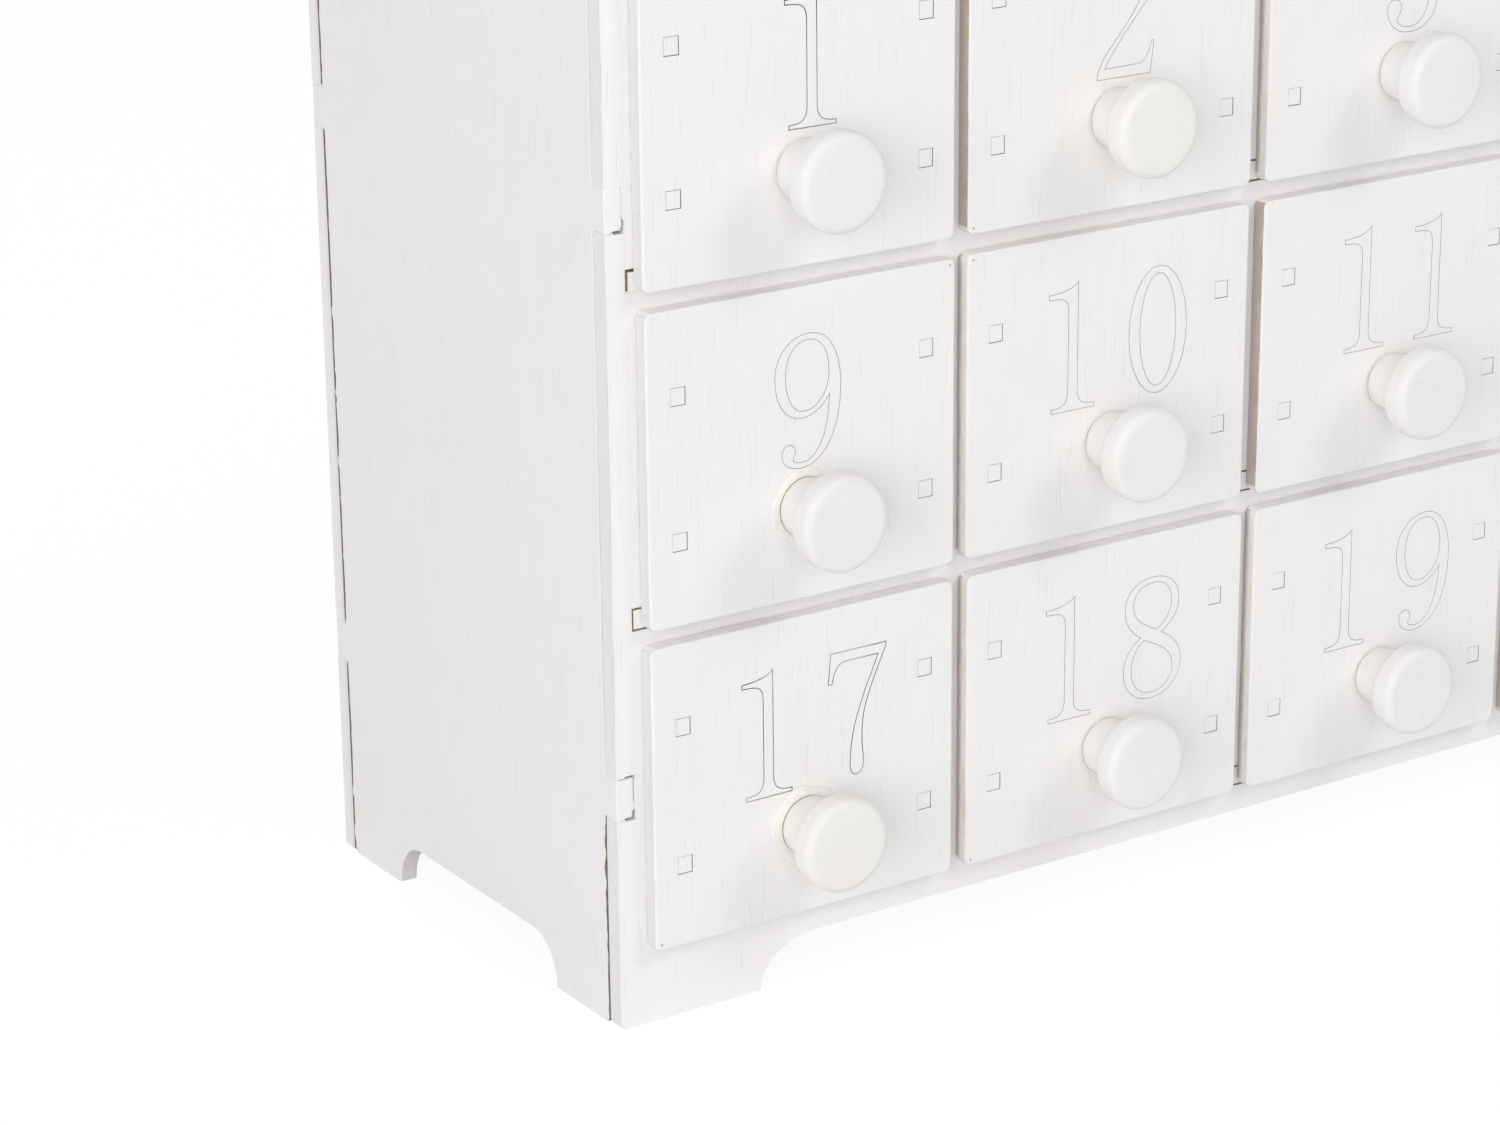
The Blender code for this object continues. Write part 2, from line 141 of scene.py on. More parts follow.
def oval(x, z, run, rise):
    """A closed contour of four curved stretches."""
    a, b = run * QUARTER_TURN_HANDLE, rise * QUARTER_TURN_HANDLE
    return [
        (x + run, z),
        (x + run, z + b, x + a, z + rise, x, z + rise),
        (x - a, z + rise, x - run, z + b, x - run, z),
        (x - run, z - b, x - a, z - rise, x, z - rise),
        (x + a, z - rise, x + run, z - b, x + run, z),
    ]


ZERO = [oval(5.8, 10.35, 5.8, 10.35), oval(5.8, 10.35, 3.65, 9.2)]
ONE = [
    [
        (0, 0), (8.5, 0), (8.5, 0.75), (6.6, 0.85, 5.15, 0.9, 5.15, 3.2), (5.1, 20.7),
        (4.5, 19.9, 3.0, 19.2, -0.6, 19.1), (-0.6, 18.25), (2.2, 18.2, 3.2, 18.2, 3.2, 15.8),
        (3.2, 3.2), (3.2, 0.9, 1.9, 0.85, 0, 0.75),
    ]
]
TWO = [
    [
        (0, 0), (0.1, 0.9), (0.6, 3.2, 3.2, 5.3, 5.4, 8.0), (7.5, 10.5, 8.9, 12.6, 8.9, 15.4),
        (8.9, 18.2, 7.6, 19.7, 5.4, 19.7), (3.9, 19.7, 2.7, 19.0, 2.4, 17.4),
        (3.3, 17.3, 3.6, 16.4, 3.4, 15.3), (3.3, 14.4, 2.7, 13.8, 1.9, 13.8),
        (1.0, 13.8, 0.45, 14.6, 0.45, 15.6), (0.45, 18.7, 2.6, 20.7, 5.7, 20.7),
        (9.0, 20.7, 11.0, 18.7, 11.0, 15.5), (11.0, 12.5, 9.2, 11.0, 6.6, 8.1),
        (4.6, 5.8, 2.7, 3.7, 1.6, 1.65), (8.1, 1.8), (9.4, 2.0, 9.9, 3.1, 10.5, 5.15), (11.0, 5.0),
        (10.4, 0),
    ]
]
THREE = [
    [
        (0.8, 16.2), (0.8, 18.9, 2.8, 20.7, 5.3, 20.7), (8.1, 20.7, 9.9, 18.8, 9.9, 15.9),
        (9.9, 13.4, 8.9, 11.6, 6.6, 10.9), (9.4, 10.4, 10.9, 8.4, 10.9, 5.5),
        (10.9, 2.2, 8.5, 0, 5.0, 0), (2.2, 0, 0.2, 1.7, 0.2, 4.1), (0.2, 5.0, 0.8, 5.6, 1.7, 5.6),
        (2.6, 5.6, 3.2, 5.0, 3.2, 4.1), (3.2, 3.0, 2.3, 2.8, 2.3, 2.1),
        (2.9, 1.3, 3.9, 0.95, 4.9, 0.95), (7.3, 0.95, 8.8, 2.7, 8.8, 5.5),
        (8.8, 8.5, 7.2, 10.2, 4.6, 10.3), (3.5, 10.3), (3.5, 11.2), (4.6, 11.3),
        (6.8, 11.5, 7.9, 13.3, 7.9, 15.8), (7.9, 18.3, 6.9, 19.8, 5.1, 19.8),
        (4.0, 19.8, 3.0, 19.3, 2.6, 18.4), (2.6, 17.8, 3.6, 17.3, 3.6, 16.2),
        (3.6, 15.4, 3.0, 14.8, 2.2, 14.8), (1.3, 14.8, 0.8, 15.4, 0.8, 16.2),
    ]
]
FOUR = [
    [
        (4.7, 0), (11.4, 0), (11.4, 0.75), (9.9, 0.9, 9.1, 0.9, 9.1, 2.6), (9.1, 5.1), (11.8, 5.1),
        (11.8, 6.1), (9.1, 6.1), (9.1, 20.7), (8.1, 20.7), (0, 6.0), (0, 5.1), (7.2, 5.1), (7.2, 2.6),
        (7.2, 0.9, 6.4, 0.9, 4.7, 0.75),
    ],
    [(7.2, 6.1), (7.2, 17.2), (1.1, 6.1)],
]
FIVE = [
    [
        (1.9, 20.6), (4.6, 20.0, 7.0, 20.1, 9.5, 20.7), (9.3, 18.6, 7.6, 17.9, 5.4, 17.9),
        (4.3, 17.9, 3.4, 18.0, 2.6, 18.2), (2.3, 11.6), (3.1, 12.5, 4.2, 12.9, 5.6, 12.9),
        (8.7, 12.9, 10.7, 10.4, 10.7, 6.7), (10.7, 2.8, 8.3, 0, 4.8, 0), (2.1, 0, 0.2, 1.5, 0.2, 3.6),
        (0.2, 4.5, 0.8, 5.1, 1.6, 5.1), (2.5, 5.1, 3.1, 4.5, 3.1, 3.7), (3.1, 2.7, 2.3, 2.6, 2.3, 1.9),
        (2.9, 1.2, 3.8, 0.95, 4.7, 0.95), (7.1, 0.95, 8.6, 3.0, 8.6, 6.6),
        (8.6, 9.9, 7.2, 11.9, 5.0, 11.9), (3.5, 11.9, 2.5, 11.2, 1.9, 10.1), (1.3, 10.3),
    ]
]
SEVEN = [
    [
        (0.45, 20.7), (10.9, 20.7), (10.9, 20.1), (9.6, 17.2, 7.9, 14.0, 7.0, 11.0),
        (6.3, 8.6, 6.2, 5.6, 6.7, 2.5), (6.8, 1.2, 6.3, 0, 5.35, 0), (4.3, 0, 3.9, 1.0, 4.0, 2.2),
        (4.1, 5.4, 4.7, 8.4, 5.9, 11.3), (6.8, 13.9, 8.3, 16.6, 9.2, 18.9), (3.4, 18.9),
        (1.9, 18.9, 1.2, 17.6, 0.85, 15.6), (0, 15.6),
    ]
]
EIGHT = [
    [
        (5.9, 20.7), (9.2, 20.7, 11.2, 18.7, 11.2, 16.2), (11.2, 13.6, 9.8, 12.1, 7.7, 11.0),
        (10.3, 9.7, 11.8, 8.0, 11.8, 5.6), (11.8, 2.2, 9.2, 0, 5.7, 0), (2.3, 0, 0, 2.2, 0, 5.3),
        (0, 7.9, 1.3, 9.6, 3.4, 10.7), (1.3, 12.0, 0.1, 13.6, 0.1, 16.0),
        (0.1, 18.8, 2.5, 20.7, 5.9, 20.7),
    ],
    [
        (5.9, 19.75), (3.5, 19.75, 1.8, 18.4, 1.8, 16.4), (1.8, 13.7, 4.2, 12.7, 6.7, 11.5),
        (8.5, 12.6, 9.7, 13.9, 9.7, 16.0), (9.7, 18.4, 8.2, 19.75, 5.9, 19.75),
    ],
    [
        (4.2, 10.2), (2.6, 9.3, 1.6, 7.6, 1.6, 5.4), (1.6, 2.8, 3.2, 0.95, 5.8, 0.95),
        (8.3, 0.95, 10.1, 2.5, 10.1, 4.8), (10.1, 7.8, 7.1, 8.9, 4.2, 10.2),
    ],
]
NINE = [
    [
        (6.2, 20.7), (9.8, 20.7, 11.9, 17.2, 11.9, 12.0), (11.9, 4.6, 8.8, 0, 4.6, 0),
        (2.6, 0, 1.2, 1.0, 1.2, 2.5), (1.2, 3.4, 1.7, 4.0, 2.5, 4.0), (3.2, 4.0, 3.7, 3.5, 3.7, 2.7),
        (3.7, 2.0, 3.2, 1.8, 3.3, 1.4), (3.7, 1.1, 4.3, 0.95, 4.9, 0.95),
        (7.8, 0.95, 9.6, 5.0, 9.75, 10.6), (8.6, 8.8, 6.8, 7.7, 4.8, 7.7),
        (2.0, 7.7, 0, 10.4, 0, 14.3), (0, 18.1, 2.7, 20.7, 6.2, 20.7),
    ],
    [
        (6.0, 19.75), (3.6, 19.75, 1.9, 17.7, 1.9, 14.4), (1.9, 11.1, 3.2, 8.7, 5.3, 8.7),
        (7.8, 8.7, 9.8, 11.2, 9.8, 14.2), (9.8, 17.6, 8.4, 19.75, 6.0, 19.75),
    ],
]


def turned(digit, width):
    """A digit's contours turned upside down, as a six is a nine."""
    size = (width, DIGIT_HEIGHT) * 3
    return [[tuple(a - b for a, b in zip(size, stretch)) for stretch in contour] for contour in digit]


DIGITS = [
    (11.6, ZERO),
    (8.5, ONE),
    (11.0, TWO),
    (10.9, THREE),
    (11.8, FOUR),
    (10.7, FIVE),
    (11.9, turned(NINE, 11.9)),
    (10.9, SEVEN),
    (11.8, EIGHT),
    (11.9, NINE),
]


def length_property(name, default, description):
    return FloatProperty(name=name, description=description, default=default, unit="LENGTH")


def colour_property(name, default, description):
    return FloatVectorProperty(name=name, description=description, default=default, subtype="COLOR")


class CalendarSizes(bpy.types.PropertyGroup):
    """Sizes of the finishing work, in metres."""

    edge_rounding: length_property(
        "Edge rounding", 0.0002, "How far paint and sanding round the edges of the case sheets"
    )
    front_rounding: length_property("Front rounding", 0.0003, "Rounding of the edges of the drawer fronts")
    front_corner: length_property("Front corner", 0.0012, "Corner radius of the drawer fronts")
    unevenness: length_property("Unevenness", 0.00008, "How far a cut edge wanders from its line")
    line_width: length_property("Engraved line", 0.0001, "Width of the engraved lines of the numbers")
    line_depth: length_property("Engraving depth", 0.00012, "Depth of the engraved lines of the numbers")
    digit_gap: length_property("Digit gap", 0.0066, "Space between the two digits of a number")
    number_rise: length_property(
        "Number rise", 0.0205, "Foot of the number above the lower edge of its front"
    )
    number_offset: length_property(
        "Number offset", 0.0019, "How far the numbers stand to the right of the middle of their front"
    )
    tab_gap: length_property("Tab gap", 0.00006, "Open line round the tab ends in a drawer front")
    knob_segments: IntProperty(
        name="Knob segments",
        description="How finely a knob is turned",
        default=48,
        min=12,
    )


class CalendarColours(bpy.types.PropertyGroup):
    """Colours of the finishes, as they look under plain light."""

    case_white: colour_property("Case white", (0.885, 0.866, 0.867), "Paint of the case")
    front_white: colour_property("Front white", (0.868, 0.853, 0.848), "Paint of the drawer fronts")
    stain: colour_property("Stain", (0.80, 0.74, 0.66), "Warm tint where wood shows through the paint")
    scorch: colour_property("Scorch", (0.33, 0.20, 0.10), "Colour that the laser leaves on a cut edge")
    birch: colour_property("Birch", (0.72, 0.56, 0.38), "Bare plywood")
    knob_white: colour_property("Knob white", (0.835, 0.82, 0.82), "Paint of most knobs")
    knob_cream: colour_property("Knob cream", (0.85, 0.83, 0.80), "Paint of the yellower knobs")
    glue: colour_property("Glue", (0.87, 0.855, 0.815), "Dried glue round the knobs")
    amber: colour_property("Amber", (0.42, 0.30, 0.16), "Darker glue in the seam under a knob")


def drawer_name(number):
    return f"drawer_{number:02d}"


def drift(number):
    """Where a drawer really sits, within its play in the opening."""
    if number in DRIFTS:
        right, up = DRIFTS[number]
    else:
        shift = noise.noise_vector(Vector((number * 1.7, 0.4, 0.9)))
        right, up = shift.x * SIDE_PLAY, shift.z * UP_PLAY
    return Matrix.Translation((right, 0, up))


def mesh_from(name, build, materials):
    """Turns a bmesh into a mesh with its materials."""
    mesh = bpy.data.meshes.new(name)
    build.to_mesh(mesh)
    build.free()
    for material in materials:
        mesh.materials.append(material)
    return mesh


def add_object(name, mesh):
    added = bpy.data.objects.new(name, mesh)
    bpy.context.scene.collection.objects.link(added)
    return added


def place_piece(name, mesh, body, replaced=()):
    """Adds a finished piece that rides on a body."""
    piece = add_object(name, mesh)
    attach(piece, body)
    if replaced:
        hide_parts(*replaced)


def make_piece(name, build, materials, body, replaced=()):
    """Turns a bmesh into a finished piece."""
    place_piece(name, mesh_from(name, build, materials), body, replaced)


def shaded(colour, share, lift=0):
    """A darker colour, or a flatter one with a lift."""
    return tuple(value * share + lift for value in colour)


def notch(near, far, start, end):
    """Points of a square tab or slot in an outline, from near to far and back."""
    return [(near, start), (far, start), (far, end), (near, end)]


def mirrored(right):
    """A closed outline from the points of its right half, foot first."""
    left = [(-x, y) for x, y in reversed(right)]
    return left[-1:] + right + left[:-1]


def add_box(build, low, high):
    """A block between two corners. Returns its vertices."""
    low, high = Vector(low), Vector(high)
    place = Matrix.Translation((low + high) / 2) @ Matrix.Diagonal((*(high - low), 1))
    return bmesh.ops.create_cube(build, size=1, matrix=place)["verts"]


def add_sheet(build, outline, thickness, place):
    """A flat sheet drawn in x and y, with its middle plane placed by a matrix."""
    verts = [build.verts.new((x, y, -thickness / 2)) for x, y in outline]
    face = build.faces.new(verts)
    lifted = bmesh.ops.extrude_face_region(build, geom=[face], use_keep_orig=True)["geom"]
    top = [item for item in lifted if isinstance(item, bmesh.types.BMVert)]
    bmesh.ops.translate(build, verts=top, vec=(0, 0, thickness))
    bmesh.ops.transform(build, matrix=place, verts=verts + top)


def waver(build, verts, reach, axes):
    """Moves points a little, so that a cut edge isn't a perfect line, and not past the box of the solids."""
    for vert in verts:
        shift = noise.noise_vector(vert.co * EDGE_WAVES) * reach
        for axis in range(3):
            moved = vert.co[axis] + shift[axis] * axes[axis]
            vert.co[axis] = min(max(moved, CAD_BOX[0][axis]), CAD_BOX[1][axis])


def round_edges(build, reach, angle=30):
    """Rounds every edge that is sharper than an angle in degrees."""
    sharp = [edge for edge in build.edges if edge.calc_face_angle(0) > math.radians(angle)]
    bmesh.ops.bevel(
        build,
        geom=sharp,
        offset=reach,
        offset_type="OFFSET",
        segments=2,
        profile=0.5,
        affect="EDGES",
        clamp_overlap=True,
        material=-1,
    )


def split_long_edges(build, length):
    """Adds points along long sharp edges, for unevenness."""
    long_edges = [e for e in build.edges if e.calc_length() > length and e.calc_face_angle(0) > 0.5]
    for edge in long_edges:
        cuts = int(edge.calc_length() / length)
        bmesh.ops.subdivide_edges(build, edges=[edge], cuts=cuts)


def merged_copy(node):
    """A CAD solid's mesh with its loose triangles joined into flat faces."""
    build = bmesh.new()
    build.from_mesh(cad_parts[node].data)
    bmesh.ops.remove_doubles(build, verts=build.verts, dist=0.000001)
    flat = math.radians(0.5)
    bmesh.ops.dissolve_limit(build, angle_limit=flat, verts=build.verts, edges=build.edges)
    bmesh.ops.recalc_face_normals(build, faces=build.faces)
    return build


def mark_cut_edges(build, facing, painted_ends=False):
    """Gives faces across the sheet the second material. Tab ends that reach the outside stay painted."""
    build.normal_update()
    for face in build.faces:
        across = abs(face.normal.dot(facing)) < FACES_ALONG
        middle = face.calc_center_median()
        outside = middle.y < FACE_Y + JOINT_GAP / 3 or middle.y > BACK_Y - JOINT_GAP / 3
        face.material_index = 2 if painted_ends and across and outside else int(across)


# Node building

SURFACE = (("Color", "Color"), ("Roughness", "Float"), ("Height", "Float"))
RELIEF_DEPTH = 0.0002


def once(library):
    """Marks a maker whose result is built once, and found by its name after that."""

    def marked(maker):
        def found_or_made(name, *values):
            return getattr(bpy.data, library).get(name) or maker(name, *values)

        return found_or_made

    return marked


def feed(tree, socket, value):
    """Links an output to a socket, or sets the socket's value. A colour of three values is opaque."""
    if isinstance(value, bpy.types.NodeSocket):
        tree.links.new(value, socket)
    elif socket.type == "RGBA" and len(value) == 3:
        socket.default_value = (*value, 1)
    else:
        socket.default_value = value


def feed_all(tree, sockets, **values):
    for name, value in values.items():
        feed(tree, sockets[name.replace("_", " ")], value)


def add_node(tree, kind, settings=None, **inputs):
    """A shader node with its settings, and with a value or an output for each named input."""
    made = tree.nodes.new(kind)
    for name, value in (settings or {}).items():
        setattr(made, name, value)
    feed_all(tree, made.inputs, **inputs)
    return made


def add_group(tree, group, **inputs):
    return add_node(tree, "ShaderNodeGroup", {"node_tree": group}, **inputs).outputs


def ramp(tree, value, low, high):
    """A value spread so that low becomes 0 and high becomes 1."""
    soft = {"interpolation_type": "SMOOTHSTEP"}
    made = add_node(tree, "ShaderNodeMapRange", soft, Value=value, From_Min=low, From_Max=high)
    return made.outputs["Result"]


def between(tree, value, low, high):
    """A value from 0 to 1 spread so that it runs from low to high."""
    return add_node(tree, "ShaderNodeMapRange", Value=value, To_Min=low, To_Max=high).outputs["Result"]


def math_node(tree, operation, first, second, kind="ShaderNodeMath"):
    made = add_node(tree, kind, {"operation": operation})
    feed(tree, made.inputs[0], first)
    feed(tree, made.inputs[1], second)
    return made.outputs[0]


def times(tree, first, second):
    return math_node(tree, "MULTIPLY", first, second)


def mix_colour(tree, factor, first, second):
    made = add_node(tree, "ShaderNodeMix", {"data_type": "RGBA"})
    sockets = {socket.identifier: socket for socket in made.inputs}
    feed(tree, sockets["Factor_Float"], factor)
    feed(tree, sockets["A_Color"], first)
    feed(tree, sockets["B_Color"], second)
    return next(socket for socket in made.outputs if socket.identifier == "Result_Color")


def noise_value(tree, vector, scale, detail=3.0, roughness=0.5):
    values = {"Scale": scale, "Detail": detail, "Roughness": roughness}
    return add_node(tree, "ShaderNodeTexNoise", Vector=vector, **values).outputs["Fac"]


def depth_value(tree, place):
    """How far behind the origin a point lies."""
    return add_node(tree, "ShaderNodeSeparateXYZ", Vector=place).outputs["Y"]


def new_group(name, inputs, outputs):
    """A shader node group with named sockets, each a name, a kind and a first value."""
    tree = bpy.data.node_groups.new(name, "ShaderNodeTree")
    for label, kind, value in inputs:
        socket = tree.interface.new_socket(name=label, in_out="INPUT", socket_type="NodeSocket" + kind)
        if value is not None:
            socket.default_value = value
    for label, kind in outputs:
        tree.interface.new_socket(name=label, in_out="OUTPUT", socket_type="NodeSocket" + kind)
    return tree, tree.nodes.new("NodeGroupInput").outputs, tree.nodes.new("NodeGroupOutput").inputs


@once("node_groups")
def wood_grain_group(name):
    """Long fibres along Z, and short open pores between them."""
    sockets = [("Vector", "Vector", None), ("Fineness", "Float", 900.0), ("Stretch", "Float", 22.0)]
    tree, start, end = new_group(name, sockets, [("Fibres", "Float"), ("Pores", "Float")])
    across = start["Fineness"]
    along = math_node(tree, "DIVIDE", across, start["Stretch"])
    scale = add_node(tree, "ShaderNodeCombineXYZ", X=across, Y=across, Z=along).outputs[0]
    stretched = math_node(tree, "MULTIPLY", start["Vector"], scale, "ShaderNodeVectorMath")
    fibres = noise_value(tree, stretched, 1.0, 4.0, 0.6)
    pores = noise_value(tree, stretched, 2.6, 1.0)
    feed_all(tree, end, Fibres=fibres, Pores=ramp(tree, pores, 0.66, 0.74))
    return tree


@once("node_groups")
def paint_coat_group(name):
    """A thin sprayed coat over grained wood: colour, roughness and height."""
    sockets = [
        ("Vector", "Vector", None),
        ("Paint", "Color", (0.8, 0.8, 0.8, 1)),
        ("Stain", "Color", (0.8, 0.74, 0.66, 1)),
        ("Stain Amount", "Float", 0.3),
        ("Pore Amount", "Float", 0.3),
    ]
    tree, start, end = new_group(name, sockets, SURFACE)
    place, stain = start["Vector"], start["Stain"]
    grain = add_group(tree, wood_grain_group("Wood Grain"), Vector=place)
    fibres, pores = grain["Fibres"], grain["Pores"]
    patches = noise_value(tree, place, 28.0, 5.0, 0.6)
    spray = noise_value(tree, place, 2600.0, 2.0)
    stained = times(tree, ramp(tree, patches, 0.42, 0.78), start["Stain Amount"])
    colour = mix_colour(tree, stained, start["Paint"], stain)
    colour = mix_colour(tree, times(tree, ramp(tree, fibres, 0.35, 0.75), 0.06), colour, stain)
    colour = mix_colour(tree, times(tree, pores, start["Pore Amount"]), colour, (0.52, 0.46, 0.40))
    height = math_node(tree, "SUBTRACT", times(tree, fibres, 0.5), times(tree, pores, 0.9))
    height = math_node(tree, "ADD", height, times(tree, spray, 0.25))
    feed_all(tree, end, Color=colour, Roughness=between(tree, patches, 0.46, 0.68), Height=height)
    return tree


@once("node_groups")
def scorched_edge_group(name):
    """A laser-cut edge under a thin coat: brown soot shows where the paint is thin."""
    sockets = [
        ("Vector", "Vector", None),
        ("Paint", "Color", (0.8, 0.8, 0.8, 1)),
        ("Scorch", "Color", (0.33, 0.2, 0.1, 1)),
        ("Cover", "Float", 0.6),
    ]
    tree, start, end = new_group(name, sockets, SURFACE)
    patches = noise_value(tree, start["Vector"], 190.0, 5.0, 0.65)
    burn = noise_value(tree, start["Vector"], 900.0, 3.0, 0.6)
    softness = 0.22
    lower = math_node(tree, "SUBTRACT", start["Cover"], softness)
    upper = math_node(tree, "ADD", start["Cover"], softness)
    amber = mix_colour(tree, ramp(tree, burn, 0.3, 0.7), start["Scorch"], (0.70, 0.50, 0.28))
    colour = mix_colour(tree, ramp(tree, patches, lower, upper), start["Paint"], amber)
    feed_all(tree, end, Color=colour, Roughness=between(tree, burn, 0.6, 0.9), Height=burn)
    return tree


def new_material(name, turn=None):
    """A material with its tree and its Object coordinates, which a turn lays along another axis."""
    material = bpy.data.materials.new(name)
    material.use_nodes = True
    tree = material.node_tree
    place = add_node(tree, "ShaderNodeTexCoord").outputs["Object"]
    if turn is not None:
        place = add_node(tree, "ShaderNodeMapping", Vector=place, Rotation=turn).outputs[0]
    return material, tree, place


def finished(material, relief, colour, roughness, height):
    """Feeds a surface's colour, roughness and height to the material's shader."""
    tree = material.node_tree
    shader = tree.nodes["Principled BSDF"]
    bump = add_node(tree, "ShaderNodeBump", Strength=relief, Distance=RELIEF_DEPTH, Height=height)
    feed_all(tree, shader.inputs, Base_Color=colour, Roughness=roughness, Normal=bump.outputs["Normal"])
    return material


@once("materials")
def painted(name, colour, stain, amount, pores, turn=(0, 0, 0)):
    """White paint on veneer. The turn lays the grain along another axis."""
    material, tree, place = new_material(name, turn)
    inputs = {"Paint": colour, "Stain": stain, "Stain Amount": amount, "Pore Amount": pores}
    coat = add_group(tree, paint_coat_group("Paint Coat"), Vector=place, **inputs)
    return finished(material, 0.35, coat["Color"], coat["Roughness"], coat["Height"])


def case_paint(colours, name="case_white", turn=(0, 0, 0)):
    return painted(name, colours.case_white, colours.stain, 0.12, 0.08, turn)


def front_paint(colours):
    return painted("front_white", colours.front_white, colours.stain, 0.10, 0.035)


@once("materials")
def cut_edge(name, paint_colour, scorch, cover, relief=0.5):
    """A laser-cut edge that the paint covers more or less."""
    material, tree, place = new_material(name)
    inputs = {"Paint": paint_colour, "Scorch": scorch, "Cover": cover}
    edge = add_group(tree, scorched_edge_group("Scorched Edge"), Vector=place, **inputs)
    return finished(material, relief, edge["Color"], edge["Roughness"], edge["Height"])


@once("materials")
def sooty_edge(name, start, end, rim_tones):
    """A laser-cut edge that little paint reached: pale at the rim in front, then darker from start to end,
    partly soot and partly painted shade of the gap between fronts.
    """
    material, tree, place = new_material(name)
    patches = noise_value(tree, place, 320.0, 4.0, 0.6)
    wander = times(tree, math_node(tree, "SUBTRACT", patches, 0.5), end - start)
    deep = ramp(tree, math_node(tree, "ADD", depth_value(tree, place), wander), start, end)
    rim = mix_colour(tree, ramp(tree, patches, 0.35, 0.65), *rim_tones)
    # The grey behind the rim is painted shade of the narrow gap, laid over the soot.
    tone = mix_colour(tree, deep, rim, (0.50, 0.44, 0.42))
    return finished(material, 0.5, tone, ramp(tree, patches, -0.9, 1.0), patches)


@once("materials")
def bare_plywood(name, colour, turn=(0, 0, 0)):
    """Unpainted veneer with grain, pores and a little colour change from sheet to sheet."""
    material, tree, place = new_material(name, turn)
    grain = add_group(tree, wood_grain_group("Wood Grain"), Vector=place, Fineness=420.0)
    fibres = grain["Fibres"]
    bands = noise_value(tree, place, 9.0, 4.0, 0.6)
    tone = mix_colour(tree, ramp(tree, bands, 0.35, 0.7), colour, shaded(colour, 0.72))
    tone = mix_colour(tree, times(tree, ramp(tree, fibres, 0.4, 0.72), 0.45), tone, shaded(colour, 0.6))
    tone = mix_colour(tree, times(tree, grain["Pores"], 0.5), tone, (0.22, 0.13, 0.07))
    return finished(material, 0.4, tone, between(tree, fibres, 0.62, 0.85), fibres)


@once("materials")
def engraved_line(name, paint_colour, soot):
    """Soot in an engraved line, in dots that are darker and paler along its length."""
    material, tree, place = new_material(name)
    stretches = noise_value(tree, place, 60.0, 3.0, 0.6)
    dots = noise_value(tree, place, 1100.0, 1.0)
    dotted = mix_colour(tree, ramp(tree, dots, 0.42, 0.6), soot, shaded(soot, 0.5, 0.2))
    tone = mix_colour(tree, ramp(tree, stretches, 0.4, 0.7), dotted, shaded(paint_colour, 0.6))
    return finished(material, 0.4, tone, ramp(tree, dots, -1.5, 1.2), dots)


@once("materials")
def knob_paint(name, colour, stain, foot_y):
    """Thick paint on a turned knob, with a few specks and a cream tint toward its foot."""
    material, tree, place = new_material(name)
    patches = noise_value(tree, place, 90.0, 4.0, 0.6)
    specks = ramp(tree, noise_value(tree, place, 620.0, 1.0), 0.72, 0.80)
    tinted = ramp(tree, depth_value(tree, place), foot_y - 0.0035, foot_y)
    tone = mix_colour(tree, times(tree, ramp(tree, patches, 0.4, 0.75), 0.2), colour, stain)
    tone = mix_colour(tree, times(tree, tinted, 0.4), tone, stain)
    tone = mix_colour(tree, times(tree, specks, 0.12), tone, (0.5, 0.43, 0.33))
    fine = noise_value(tree, place, 1400.0, 3.0)
    return finished(material, 0.3, tone, between(tree, patches, 0.5, 0.68), fine)


@once("materials")
def dried_glue(name, colour):
    """Dried glue in uneven tones."""
    material, tree, place = new_material(name)
    patches = noise_value(tree, place, 240.0, 3.0, 0.6)
    tone = mix_colour(tree, ramp(tree, patches, 0.35, 0.7), colour, shaded(colour, 0.92))
    return finished(material, 0.6, tone, ramp(tree, patches, -0.4, 1.6), patches)


ALONG_X = (0, math.pi / 2, 0)
FACING_FRONT = Vector((0, 1, 0))
FACING_SIDE = Vector((1, 0, 0))
FACING_UP = Vector((0, 0, 1))


